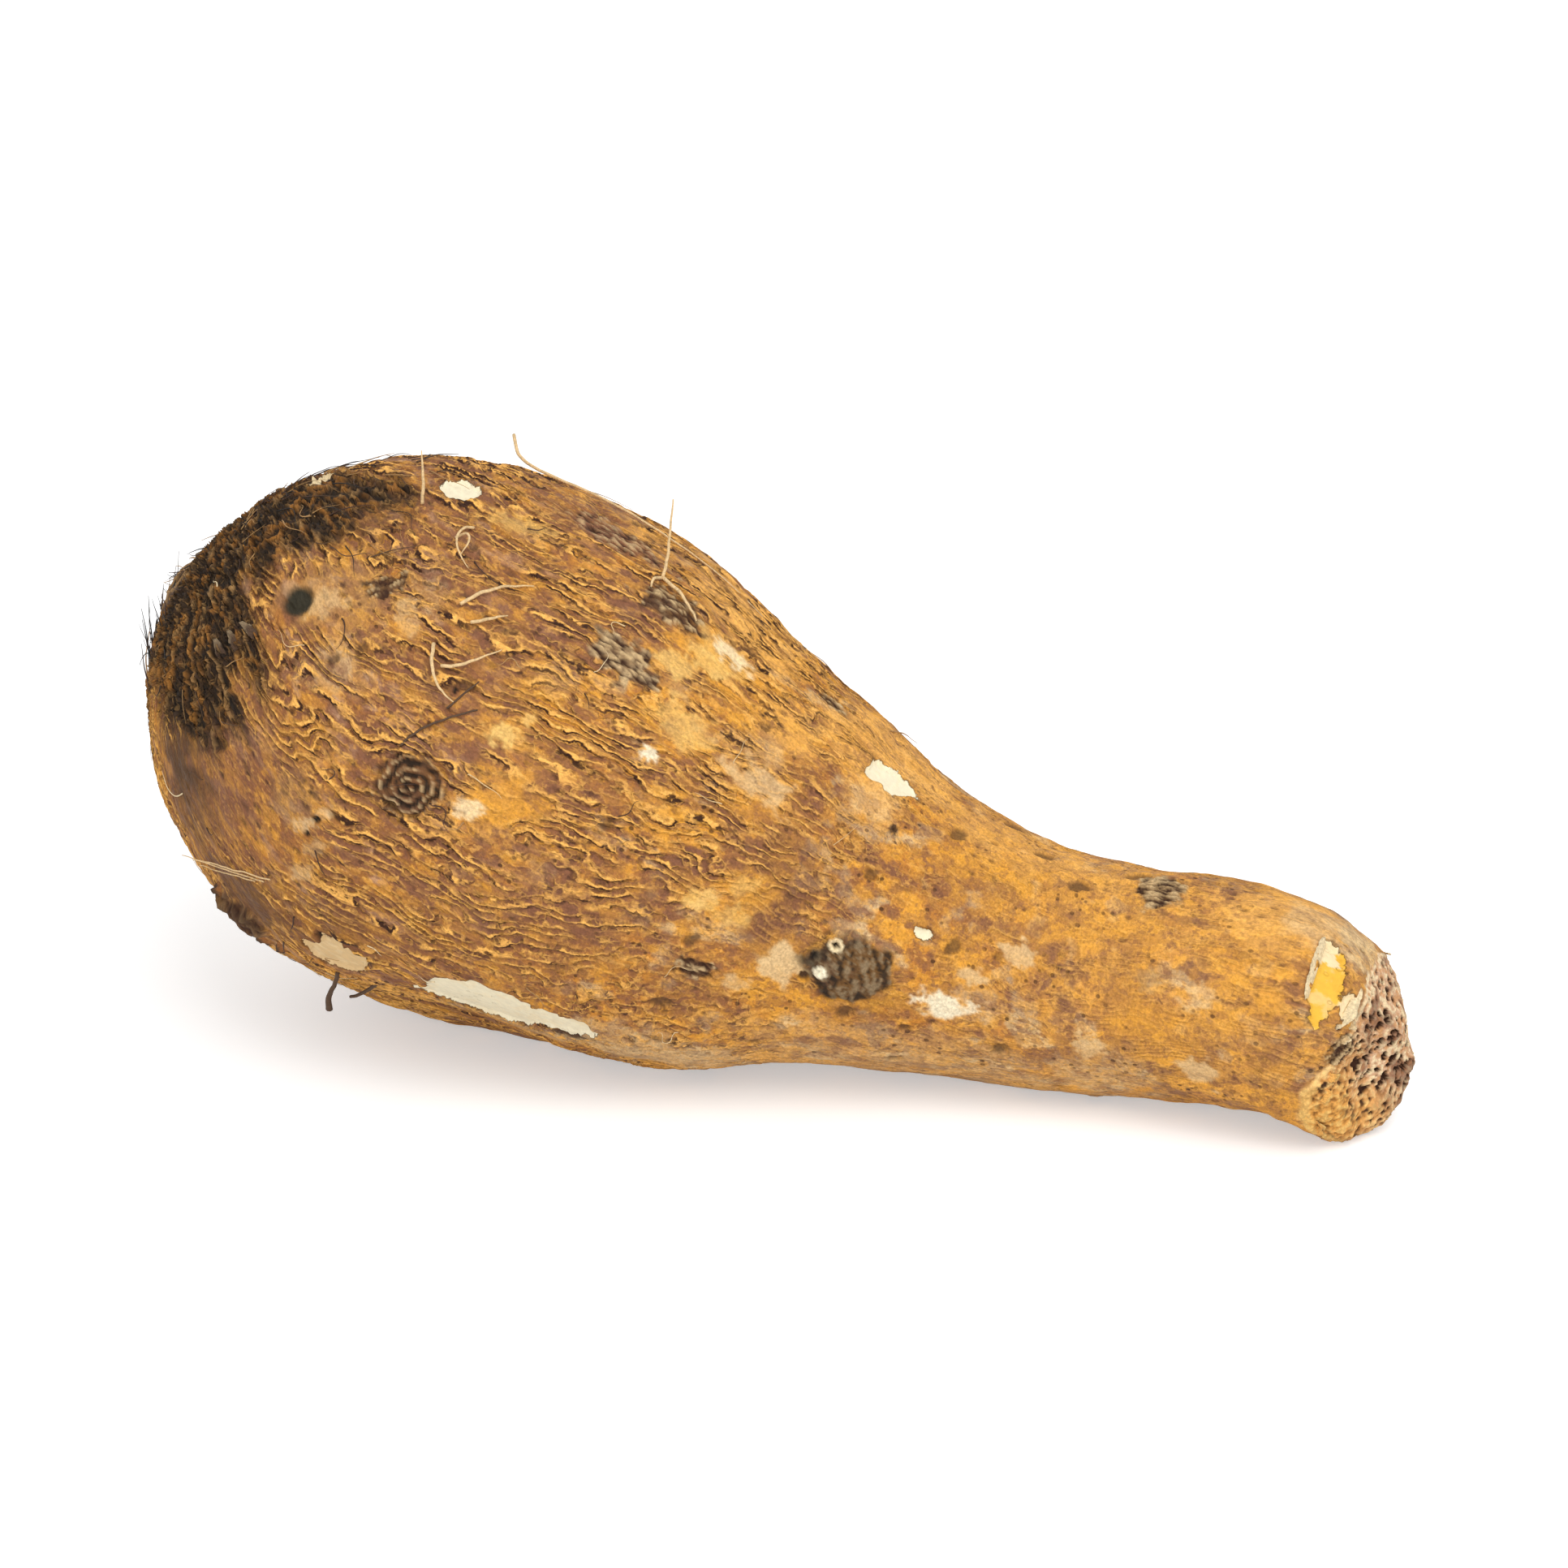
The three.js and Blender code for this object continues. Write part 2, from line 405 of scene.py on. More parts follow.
def ridge_profile(phase):
    """Height over one ridge from 0 to 1: a long slope up and a steep one down, like the edge of a scale."""
    phase = phase % 1
    return np.where(phase < CREST_AT, smooth(-0.1, CREST_AT, phase), smooth(1.0, CREST_AT, phase))


def ridges(skin):
    """Wavy ridges along the body that swell, fade and break off, and wrinkles between them."""
    grain, x = skin.grain, skin.station[:, None]
    skin.waves += 2.0 * noise(grain / (24, 11, 11), 100) + 1.6 * noise(grain / (8.5, 4.6, 4.6), 101)
    skin.waves += 0.6 * noise(grain / (3.4, 2.1, 2.1), 102)
    patchy = smooth(-0.7, 0.2, cloud(grain / (14, 8, 8), 104, 2))
    broken = smooth(-0.3, 0.25, noise(grain / (7, 1.7, 1.7), 103) + 0.1)
    body = (1 - 0.8 * smooth(-15, 18, x)) * smooth(5, 12, skin.girth)
    skin.ridge += body * broken * (0.3 + 0.75 * patchy) * (1 + 0.3 * smooth(-25, -50, x))
    for place in SMOOTH_SKIN:
        here = about(skin, *place)
        here.ridge *= smooth(0.4, 1.3, here.away)
    phase = RIDGES * skin.turn / (2 * math.pi) + skin.waves
    skin.lift += RIDGE_HEIGHT * (ridge_profile(phase) - 0.5) * skin.ridge
    wrinkles = 1 - abs(noise(grain / (6, 1.2, 1.2), 105))
    skin.lift += 0.14 * (wrinkles - 0.7) * body


def specks(skin):
    """Small dark pits, scattered unevenly."""
    nearest, _ = cells(skin.grain / (3.0, 2.0, 2.0), 31)
    left = smooth(-25, -50, skin.station[:, None])
    some = smooth(0.0, 0.5, noise(skin.grain / (9, 6, 6), 32) + 0.1 + 0.5 * left)
    pit = smooth(0.28 + 0.06 * left, 0.15, nearest) * some
    paint(skin, UMBER, (0.7 + 0.25 * left) * pit)
    skin.lift -= 0.18 * pit


def scars(skin):
    """Small dark spots with a low rim where thin rootlets came away."""
    rng = np.random.default_rng(77)
    for _ in range(SCARS):
        x, angle, size = rng.uniform(-78, 50), rng.uniform(0, 360), rng.uniform(0.5, 1.1)
        here = about(skin, x, angle, 1.5 * size, size, rng.uniform(0, 60), ragged=0.3, grit=1.2)
        dark = smooth(1.2, 0.7, here.away)
        paint(here, UMBER, 0.8 * dark)
        here.lift += 0.15 * smooth(0.5, 0.2, abs(here.away - 1.25)) - 0.25 * dark
        calm(here, 0.8 * dark)


def scuff(skin, x, angle, length, width, turn, colour, share):
    """A patch where the outermost skin is worn away, with a softer golden edge."""
    here = about(skin, x, angle, length, width, turn, ragged=0.55, grit=0.8, seed=int(5 * abs(x)) + 1)
    worn = smooth(1.12, 0.66, here.away)
    paint(here, GOLD, 0.5 * share * smooth(1.7, 1.0, here.away))
    paint(here, colour, share * worn)
    calm(here, 0.95 * share * worn)
    here.lift *= 1 - 0.5 * worn


def peel(skin, x, angle, length, width, turn, colour, ragged):
    """A place where the skin is gone and the paler flesh shows. The skin's peel is how many millimetres a
    vertex is inside its edge."""
    here = about(skin, x, angle, length, width, turn, ragged=ragged, grit=1.1, seed=int(7 * abs(x)) + 3)
    inside = (1 - here.away) * min(length, width)
    here.under[inside > here.peel] = colour
    rim = smooth(0.9, 0.1, abs(inside + 0.35)) * (inside > here.peel)
    before = smooth(-0.2, 0.35, here.peel)
    np.maximum(here.peel, inside, out=here.peel)
    gone = smooth(-0.2, 0.35, here.peel) - before
    here.lift *= 1 - 0.9 * gone
    here.lift += 0.15 * rim - 0.3 * gone


def ringed_eye(skin, x, angle, size, dark, seed):
    """A dormant bud, wound about with the uneven dark edges of its scales."""
    here = about(skin, x, angle, size, 0.9 * size, 20, ragged=0.18, grit=0.9, seed=seed)
    turn = np.arctan2(here.v, here.u)
    rings = np.cos(2 * math.pi * 3.1 * here.away + turn + 2.4 * noise(here.place / 2.3, seed + 1))
    broken = smooth(-0.5, 0.1, cloud(here.place / 2.0, seed + 2))
    near, wide = smooth(1.2, 0.8, here.away), smooth(1.5, 1.1, here.away)
    here.lift *= 1 - near
    here.lift += near * (0.7 * np.exp(-2.0 * here.away**2) - 0.3) + 0.4 * wide * broken * rings
    paint(here, UMBER, 0.6 * near)
    paint(here, BEIGE, 0.6 * wide * broken * smooth(0.7, 1.0, rings))
    paint(here, SOOT, dark * wide * smooth(0.25, -0.4, rings) * (0.3 + 0.7 * broken))
    calm(here, near)


def corky_eye(skin, x, angle, length, width, turn, colour, height, seed, flecks=0.75):
    """A rough mound of cork and fibre where a bud or a rootlet sat. The fibres run along its length, and
    flecks says how far they bleach."""
    here = about(skin, x, angle, length, width, turn, ragged=0.5, grit=0.8, seed=seed)
    near = smooth(1.2, 0.85, here.away)
    bent = 0.8 * noise(here.place / 1.7, seed + 3)
    fibres = cloud(np.stack([here.u / 1.9, here.v / 0.6 + bent, bent], -1), seed + 1)
    here.lift *= 1 - near
    here.lift += near * (height * np.exp(-1.2 * here.away**2) + 0.4 * fibres)
    paint(here, colour, 0.85 * near)
    paint(here, CLEFT_AND_SHADOW, near * smooth(0.0, -0.35, fibres))
    paint(here, BEIGE, flecks * near * smooth(0.12, 0.45, fibres))
    np.maximum(here.net, 0.3 * near, out=here.net)
    calm(here, near)


def hole(skin, x, angle, size, depth, colour=SOOT, rim=None):
    """A round pit, with a raised rim if rim names its colour."""
    here = about(skin, x, angle, size, size, ragged=0.12, grit=1.5)
    inside = smooth(1.1, 0.7, here.away)
    calm(here, smooth(1.8, 1.2, here.away))
    here.lift -= depth * inside
    if rim:
        ring = smooth(0.9, 0.4, abs(here.away - 1.5))
        here.lift += 0.35 * ring
        paint(here, rim, ring)
    paint(here, colour, inside)


def neck_eye(skin):
    """The large dark eye of the neck, with two dark pits at its left edge and two pale-rimmed ones in it."""
    here = about(skin, 13.9, 180.6, 5.6, 4.6, 0, ragged=0.2, grit=0.9, seed=33)
    near = smooth(1.12, 0.92, here.away)
    fibre = cloud(np.stack([(here.u + 0.4 * here.v) / 0.9, here.v / 2.2, 0 * here.u], -1), 34)
    here.lift *= 1 - near
    here.lift += near * (1.0 * np.exp(-1.3 * here.away**2) + 0.3 * fibre)
    paint(here, UMBER, 0.9 * near)
    paint(here, GREY, 0.85 * near * smooth(-0.05, 0.25, fibre))
    paint(here, SOOT, 0.8 * near * smooth(-0.15, -0.4, fibre))
    paint(here, SOOT, 0.7 * smooth(0.30, 0.08, abs(here.away - 1.0)) * smooth(1.0, -2.0, here.u))
    calm(here, near)
    hole(skin, 8.9, 187.0, 0.7, 0.6, UMBER)
    hole(skin, 9.0, 179.0, 0.5, 0.4)
    hole(skin, 11.0, 173.5, 0.45, 0.7, SOOT, CREAM)
    hole(skin, 10.6, 183.5, 0.40, 0.1, IVORY, IVORY)


def crown(skin):
    """The crown: dark netted remains of leaf bases far down the top, partly painted shade down the front,
    and a bud in its middle.
    """
    skin = part_of(skin, slice(0, int(np.argmax(skin.length > CROWN_ROWS))))
    ragged = 6.0 * cloud(skin.grain / (12, 6, 6), 61)
    # down the front the stain also paints the shade that the neighbouring roots cast on this end
    limit = CROWN_STAIN + TOP_STAIN * sector(skin, 100, 23) + SIDE_STAIN_AND_SHADE * sector(skin, 154, 31)
    np.maximum(skin.net, smooth(5, -5, skin.length[:, None] + ragged - limit), out=skin.net)
    nearest, second = cells(skin.grain / (3.6, 2.5, 2.5) + 0.35 * noise(skin.grain / 3, 67)[..., None], 66)
    strand = smooth(0.13, 0.03, second - nearest)
    paint(skin, SOOT, skin.net)
    paint(skin, UMBER, 0.2 * skin.net * smooth(0, 0.4, cloud(skin.grain / 4, 68)))
    paint(skin, AMBER, 0.70 * skin.net * strand * smooth(-0.2, 0.3, cloud(skin.grain / 5, 69)))
    paint(skin, TAN, 0.80 * skin.net * strand * smooth(0.1, 0.45, cloud(skin.grain / 3, 70)))
    calm(skin, 0.95 * skin.net)
    skin.lift += skin.net * (0.7 * strand - 0.3)
    away = skin.length[:, None] / BUD
    near = smooth(1.2, 0.85, away)
    waves = np.cos(2 * math.pi * (2.6 * away + 0.3 * noise(skin.place / 3, 65)))
    skin.lift *= 1 - near
    skin.lift += near * (1.6 * np.exp(-2.5 * away**2) + 0.35 * waves)
    paint(skin, UMBER, 0.8 * near)
    paint(skin, TAN, 0.7 * near * smooth(0.2, 0.9, waves))
    paint(skin, SOOT, 0.9 * near * smooth(0.0, -0.7, waves))
    calm(skin, near)
    skin.net *= 1 - near


def torn_end(skin):
    """The broken end: pitted flesh inside a ragged edge of skin, with a crumbly golden lip below."""
    skin = part_of(skin, slice(int(np.argmax(skin.length > skin.length[-1] - BREAK_ROWS)), None))
    rest = (skin.length[-1] - skin.length)[:, None] + np.zeros(COLUMNS)
    limit = BREAK_REACH + sector(skin, 100, 25) + 3.6 * sector(skin, 205, 28) - 2.0 * sector(skin, 260, 25)
    inside = limit + cloud(skin.place / 3.2, 71) - rest
    torn = smooth(-0.3, 0.3, inside)
    golden = sector(skin, 218, 48) * smooth(12, 5, inside)
    pores, _ = cells(skin.place / 1.15 + 0.3 * noise(skin.place / 1.7, 74)[..., None], 72)
    crumbs = cloud(skin.place / 0.9, 73, 2)
    coarse = cloud(skin.place / 4.0, 75, 2)
    pit = smooth(0.48, 0.30, pores - 0.1 * coarse) * smooth(0.6, 1.6, inside) * (1 - 0.8 * golden)
    skin.lift *= 1 - torn
    hollow = 0.8 * pit + 0.7 * smooth(1.5, 7.0, inside)
    skin.lift += torn * ((0.12 + 0.2 * golden) * crumbs + 0.25 * coarse - hollow)
    paint(skin, FLESH, torn)
    paint(skin, GOLD, 0.8 * torn * golden)
    paint(skin, CREAM, 0.8 * torn * smooth(0.05, 0.3, crumbs) * (1 - golden))
    paint(skin, BUTTER, 0.7 * torn * smooth(0.05, 0.3, crumbs) * golden)
    paint(skin, AMBER, 0.45 * torn * smooth(-0.1, -0.4, crumbs))
    paint(skin, MAUVE, 0.75 * torn * smooth(0.0, 0.4, coarse) * (1 - golden))
    paint(skin, UMBER, 0.5 * torn * golden * smooth(-0.25, -0.5, crumbs))
    paint(skin, CLEFT_AND_SHADOW, torn * smooth(0.1, 0.4, pit))
    lip = smooth(0.9, 0.2, abs(inside - 0.6)) * (1 - 0.2 * golden - 0.5 * sector(skin, 95, 40))
    skin.lift += 0.4 * lip * smooth(-0.5, 0.4, noise(skin.place / 1.6, 76))
    paint(skin, CREAM, 0.8 * lip * smooth(-0.6, 0.0, crumbs) * (1 - golden))
    paint(skin, BUTTER, 0.8 * lip * golden)
    calm(skin, torn)


# ---- What is where on the skin ----

# (x, angle, half length, half width, turn)
SMOOTH_SKIN = [
    (-58, 128, 8, 6, 0),
    (-62, 178, 12, 11, 0),
    (-30, 300, 14, 10, 0),
    (-45, 20, 10, 9, 0),
    (-4, 229, 10, 4, 0),
    # the last two keep ridges off the painted shade at the left end
    (-74, 193, 8, 10, 0),
    (-66, 211, 11, 6, 0),
]

# (colour, [(x, angle, half length, half width, share), ...])
TONES = [
    (MAUVE, [
        # the first two darken the left end: partly its browner skin, partly painted shade from the
        # neighbouring roots
        (-66, 168, 14, 15, 0.55), (-72, 200, 12, 14, 0.5), (-48, 163, 9, 8, 0.45), (-47, 169, 5, 4, 0.55),
        (-44, 200, 8, 6, 0.45), (-46, 141, 9, 6, 0.4), (-40, 139, 6, 5, 0.6), (-34, 138, 6, 9, 0.45),
        (-35, 131, 4, 4, 0.75), (-35, 148, 4, 4, 0.6), (-23, 108, 6, 5, 0.75), (-40, 118, 7, 5, 0.5),
        (-48, 110, 7, 5, 0.4), (-30, 122, 7, 5, 0.4), (-16, 181, 8, 6, 0.6), (-25, 183, 5, 4, 0.4),
        (-23, 154, 7, 5, 0.55), (-27, 155, 4, 4, 0.65), (-23, 207, 5, 3, 0.6), (-24, 190, 14, 8, 0.55),
        (-20, 196, 4, 4, 0.4), (-18, 109, 3, 3, 0.5), (-40, 171, 4, 3, 0.5), (-50, 98, 12, 10, 0.2),
        (-30, 86, 8, 7, 0.3), (-2, 148, 7, 13, 0.55), (2, 157, 5, 4, 0.5), (4, 174, 7, 6, 0.75),
        (-10, 172, 4, 3, 0.65), (-3, 199, 7, 7, 0.65), (-4, 192, 4, 3, 0.55), (5, 133, 7, 5, 0.45),
        (8, 160, 7, 5, 0.5), (17, 199, 6, 3, 0.45), (24, 139, 6, 5, 0.5), (38, 147, 6, 4, 0.45),
        (36, 167, 4, 4, 0.45), (52, 168, 5, 4, 0.7), (71, 172, 4, 5, 0.6), (73, 192, 4, 4, 0.45),
        (-57, 205, 14, 9, 0.35),
    ]),
    (UMBER, [
        # the first four darken the left end low in front: partly the dark of the crown, partly painted shade
        # from the neighbouring roots
        (-76, 186, 7, 7, 0.85), (-74, 198, 7, 8, 0.6), (-66, 212, 9, 6, 0.6), (-56, 206, 12, 8, 0.4),
        (-59, 110, 6, 4, 0.5), (-41, 139, 3, 3, 0.45), (18, 188, 4, 3, 0.35), (2, 163, 6, 9, 0.22),
    ]),
    (TAN, [(-58, 127, 9, 6, 0.6), (-57, 171, 4, 4, 0.5)]),
    (GOLD, [
        (-29, 137, 4, 4, 0.65), (-10, 116, 12, 6, 0.5), (-30, 163, 5, 4, 0.4), (-6, 145, 3, 3, 0.5),
        (-13, 155, 4, 4, 0.8), (-1, 166, 4, 3, 0.6), (-57, 159, 4, 3, 0.5), (22, 115, 6, 5, 0.4),
        (25, 159, 4, 3, 0.6), (38, 120, 18, 7, 0.5), (50, 138, 7, 5, 0.4), (50, 160, 8, 5, 0.3),
        (57, 178, 7, 5, 0.7), (68, 135, 7, 11, 0.6), (73, 215, 5, 7, 0.5),
    ]),
    (CREST, [
        (-25, 82, 6, 5, 0.5), (-5, 115, 6, 5, 0.6), (-13, 84, 12, 8, 0.8), (8, 84, 12, 7, 0.9),
        (-11, 94, 5, 4, 0.5), (2, 104, 8, 5, 0.7), (7, 119, 5, 4, 0.6), (21, 102, 7, 4, 0.4),
        (28, 88, 12, 7, 0.6), (42, 90, 8, 6, 0.4), (68, 99, 8, 8, 0.9),
    ]),
    (BEIGE, [
        (-55, 142, 5, 4, 0.5), (-46, 123, 4, 3, 0.3), (-28, 133, 3, 3, 0.3), (-7, 130, 4, 3, 0.5),
        # the long narrow bands low down, from 210 to 232 degrees, are painted light along the lower edge
        (7, 121, 4, 3, 0.5), (-11, 220, 9, 4, 0.6), (-4, 229, 12, 4, 0.75), (-1, 223, 8, 3, 0.5),
        (-30, 231, 12, 3, 0.6), (12, 168, 3, 2, 0.5), (30, 180, 4, 3, 0.5), (24, 210, 26, 5, 0.35),
        (20, 232, 42, 7, 0.5), (48, 210, 8, 5, 0.5), (72, 99, 6, 5, 0.6), (76, 93, 5, 5, 0.9),
    ]),
]

# (x, angle, half length, half width, turn, colour, share)
SCUFFS = [
    (-58.8, 129.4, 3.0, 2.4, 0, BEIGE, 0.45),
    (-46.8, 128.8, 3.0, 2.6, 0, BEIGE, 0.5),
    (-55.1, 176.1, 1.8, 1.0, 30, CREAM, 0.45),
    (-52.2, 172.0, 1.5, 1.0, 40, CREAM, 0.45),
    (-53.6, 181.0, 2.0, 1.2, 40, BEIGE, 0.4),
    (-55.5, 189.0, 2.4, 1.3, 40, BEIGE, 0.6),
    (-38.2, 98.6, 6.0, 1.8, 0, BUTTER, 0.6),
    (-17.3, 119.0, 3.4, 2.0, 0, BUTTER, 0.75),
    (-14.6, 113.0, 3.4, 2.0, -12, BUTTER, 0.85),
    (-13.8, 107.5, 5.0, 3.0, -8, BUTTER, 0.6),
    (-13.0, 105.8, 3.6, 1.8, -8, CREAM, 0.85),
    (-14.7, 132.8, 4.6, 2.9, -5, BUTTER, 0.65),
    (-16.4, 143.4, 1.4, 1.1, 0, IVORY, 0.9),
    (-5.5, 137.2, 5.2, 3.0, -8, BEIGE, 0.75),
    (-32.0, 149.1, 2.4, 1.6, 0, BUTTER, 0.85),
    (-29.4, 144.6, 1.2, 0.9, 0, BUTTER, 0.8),
    (-30.6, 162.6, 4.4, 3.4, 0, GOLD, 0.6),
    (-34.5, 165.4, 2.2, 1.5, 0, CREAM, 0.75),
    (-6.3, 173.8, 2.6, 1.9, 0, BUTTER, 0.7),
    (-2.1, 167.1, 2.2, 1.6, 0, BUTTER, 0.5),
    (-2.1, 176.1, 2.4, 1.7, 0, BUTTER, 0.5),
    (1.8, 194.6, 2.0, 1.5, 0, BEIGE, 0.6),
    (5.7, 185.0, 3.6, 2.9, 0, BEIGE, 0.9),
    (26.0, 184.5, 3.6, 1.9, -8, IVORY, 0.9),
    (29.8, 182.0, 1.3, 0.9, 0, IVORY, 0.7),
    (28.7, 168.2, 1.9, 1.4, 0, BEIGE, 0.75),
    (33.4, 151.3, 2.4, 1.8, 0, BEIGE, 0.75),
    (46.5, 190.1, 2.3, 1.8, 0, BEIGE, 0.7),
    (54.2, 150.8, 1.9, 1.8, 0, GREY, 0.5),
    (61.3, 196.9, 2.7, 2.3, 0, BEIGE, 0.8),
    (62.4, 156.9, 1.7, 1.7, 0, BEIGE, 0.5),
    (10, 40, 5, 4, 20, BEIGE, 0.8),
    (-25, 335, 4, 3, 0, CREAM, 0.7),
    (-40, 55, 6, 4, 20, BEIGE, 0.7),
    (48, 300, 3, 2.5, 0, BEIGE, 0.8),
]

# (x, angle, half length, half width, turn, colour, how ragged the edge is)
PEELS = [
    (-47.3, 92.8, 3.1, 2.5, -10, IVORY, 0.16),
    (-68.1, 88.0, 2.0, 2.6, 0, CREAM, 0.2),
    (8.0, 106.3, 4.0, 2.4, 12, IVORY, 0.35),
    (20.4, 158.6, 1.2, 0.8, 0, IVORY, 0.4),
    (-31.6, 218.3, 8.3, 6.2, -5, IVORY, 0.2),
    (-22.0, 219.4, 8.0, 2.8, -3, IVORY, 0.25),
    (-38.0, 220.4, 3.8, 2.3, 0, IVORY, 0.2),
    (-51.8, 213.8, 4.6, 4.0, 0, BEIGE, 0.45),
    (74.7, 136.2, 2.3, 5.2, 0, YELLOW, 0.25),
    (74.6, 129.5, 1.6, 2.4, 0, BUTTER, 0.3),
    (74.2, 121.5, 1.5, 2.8, 30, CREAM, 0.3),
    (77.3, 142.0, 1.1, 1.8, 0, CREAM, 0.25),
    (-48, 350, 6, 3.5, 30, CREAM, 0.25),
    (25, 350, 5, 2.2, 5, IVORY, 0.25),
    (-15, 60, 4, 2.5, -20, CREAM, 0.25),
]

# (x, angle, half length, half width, turn, colour, height, seed), and flecks where they differ
CORKY_EYES = [
    (-28.5, 89.0, 8.0, 3.6, -8, MAUVE, 0.1, 75, 0.6),
    (-19.8, 104.4, 4.6, 2.8, 0, UMBER, 0.7, 51),
    (-22.4, 124.0, 4.8, 2.9, -18, GREY, 0.2, 55),
    (-51.5, 123.0, 2.8, 1.8, 40, UMBER, 0.1, 58),
    (52.5, 99.0, 3.2, 3.2, 0, GREY, 0.3, 57),
    (-66.8, 223.5, 4.8, 2.8, 0, UMBER, 2.0, 64, 0.1),
    (-3.5, 192.3, 2.6, 1.4, 0, UMBER, 0.1, 65),
    (-2.3, 92.5, 2.3, 1.0, 0, UMBER, 0.1, 72),
    (-17.5, 225.5, 3.0, 1.1, 0, UMBER, 0.2, 68),
    (-10.9, 350, 4.5, 4.0, 0, GREY, 0.7, 59),
    (37.1, 12, 3.6, 3.2, 0, UMBER, 0.6, 61),
]

# (x, angle, size, how dark, seed)
RINGED_EYES = [
    (-41.8, 163.1, 4.4, 0.9, 71),
    (-58.9, 30, 4.8, 0.7, 91),
]

# (x, angle, size, depth, colour, colour of the rim), the last two where they differ
HOLES = [
    (-62.5, 130.5, 2.4, 0.5, MOULD),
    (-53.6, 174.0, 0.6, 0.4),
    (-54.6, 178.0, 0.5, 0.4),
    (-53.2, 207.2, 1.0, 0.5),
    (-38.4, 141.8, 0.5, 0.4),
    (10.9, 127.1, 0.35, 0.2, UMBER, UMBER),
]

# (radius, thickness of the end, [(x, angle, height), ...])
PALE = [
    (0.26, 0.3, [(-40.8, 123.6, 0.3), (-38.9, 120.9, 0.8), (-36.6, 117.5, 0.8), (-33.5, 114.5, 0.3)]),
    (0.24, 0.3, [(-38.9, 127.1, 0.3), (-37.4, 126.6, 0.9), (-36.0, 125.0, 0.8), (-35.0, 123.8, 0.4)]),
    (0.24, 0.3, [(-40.9, 137.8, 0.3), (-38.8, 137.4, 1.1), (-37.0, 135.2, 1.2), (-34.5, 131.6, 0.4)]),
    (0.26, 0.3, [(-42.5, 133.5, 0.3), (-42.3, 136.5, 0.9), (-41.6, 139.9, 1.0), (-40.4, 142.9, 0.9),
                 (-38.4, 144.5, 0.3)]),
    (0.2, 0.3, [(-42.8, 104.1, 0.3), (-44.0, 106.0, 1.2), (-44.2, 109.5, 1.4), (-43.4, 112.5, 1.2),
                 (-41.4, 115.0, 0.2)]),
    (0.2, 0.3, [(-44.6, 108.0, 0.2), (-43.0, 107.0, 1.5), (-42.4, 109.5, 1.2), (-43.0, 112.0, 0.2)]),
    (0.24, 0.3, [(-51.2, 101.2, 0.2), (-51.5, 99.5, 3.5), (-52.3, 96.8, 6.5)]),
    (0.24, 0.3, [(-46.5, 67.0, 4.4), (-45.0, 69.5, 2.2), (-43.0, 72.0, 1.1), (-38.0, 73.5, 0.8),
                 (-32.0, 74.5, 0.7), (-26.0, 75.0, 0.6), (-19.0, 76.0, 0.4), (-13.0, 77.0, 0.2)]),
    (0.24, 0.4, [(-22.0, 98.0, 0.1), (-22.5, 96.0, 2.5), (-23.3, 94.5, 5.5), (-24.4, 93.0, 10.0)]),
    (0.26, 0.5, [(-22.0, 98.0, 0.3), (-20.8, 100.5, 0.9), (-19.0, 102.5, 0.9), (-17.6, 105.5, 0.4)]),
    (0.24, 0.5, [(-22.1, 98.2, 0.2), (-22.8, 100.5, 0.8), (-22.6, 103.5, 0.4)]),
    (0.11, 0.5, [(-60.5, 195.5, 0.2), (-65.0, 198.5, 0.9), (-69.0, 203.5, 1.6), (-71.2, 208.0, 2.6)]),
    (0.11, 0.5, [(-61.5, 197.5, 0.2), (-66.0, 201.0, 0.8), (-69.8, 205.0, 2.2), (-72.0, 207.5, 3.6)]),
    (0.1, 0.5, [(-63.0, 199.5, 0.2), (-67.0, 203.0, 1.0), (-70.4, 208.0, 2.4)]),
]

DARK = [
    (0.3, 1.7, [(-52.6, 224.0, 0.0), (-53.1, 228.5, 1.4), (-54.0, 231.0, 3.0), (-53.7, 234.0, 4.6)]),
    (0.28, 0.8, [(-48.0, 226.5, 0.0), (-49.6, 230.0, 1.4), (-51.6, 232.5, 2.2)]),
    (0.17, 0.6, [(-43.8, 155.2, 0.1), (-41.8, 150.8, 0.4), (-37.4, 146.8, 0.4), (-35.4, 145.1, 0.1)]),
    (0.15, 0.6, [(-39.0, 146.0, 0.1), (-37.0, 141.5, 0.5), (-36.0, 139.0, 0.1)]),
]

ALL_ROUND = (0, 360)
PALES, DARKS, BROWNS = [CREAM, TAN, BEIGE], [UMBER, CLEFT_AND_SHADOW], [UMBER, SOOT, CLEFT_AND_SHADOW, TAN]

# (piece, how many, reach, angle, heading, length, radius, lift, wave, colours, seed) of the finer hairs
HAIRS = [
    ("rootlets_pale", 50, (30, 120), ALL_ROUND, ALL_ROUND, (2.5, 7), 0.09, (0.1, 0.6), 60, PALES, 7),
    ("rootlets_dark", 30, (25, 100), ALL_ROUND, ALL_ROUND, (2.5, 6), 0.10, (0.1, 0.8), 50, DARKS, 8),
    ("crown_fibres", 60, (3, 14), ALL_ROUND, (120, 240), (3, 7), 0.12, (1.0, 3.0), 30, BROWNS, 9),
    ("crown_fibres", 50, (10, 40), ALL_ROUND, (-60, 60), (2, 6), 0.08, (0.1, 0.5), 40, BROWNS, 10),
    ("crown_fibres", 70, (24, 58), (78, 118), (-50, 50), (3, 9), 0.09, (0.1, 1.0), 35, BROWNS, 11),
]

# (x, angle, heading, length, width, bend) of the dark flaps of torn skin low on the body
FLAPS = [
    (-69.3, 221, 150, 2.0, 3.2, 0.9),
    (-67.0, 225, 135, 2.0, 3.4, 1.0),
    (-64.0, 227, 120, 1.8, 3.2, 0.9),
    (-61.0, 226, 140, 1.6, 2.4, 0.8),
]


# ---- Places above the skin ----


def reach_of(skin, x):
    """Distance from the growing point, along the skin, to a place's x."""
    return np.interp(x, skin.station, skin.length)


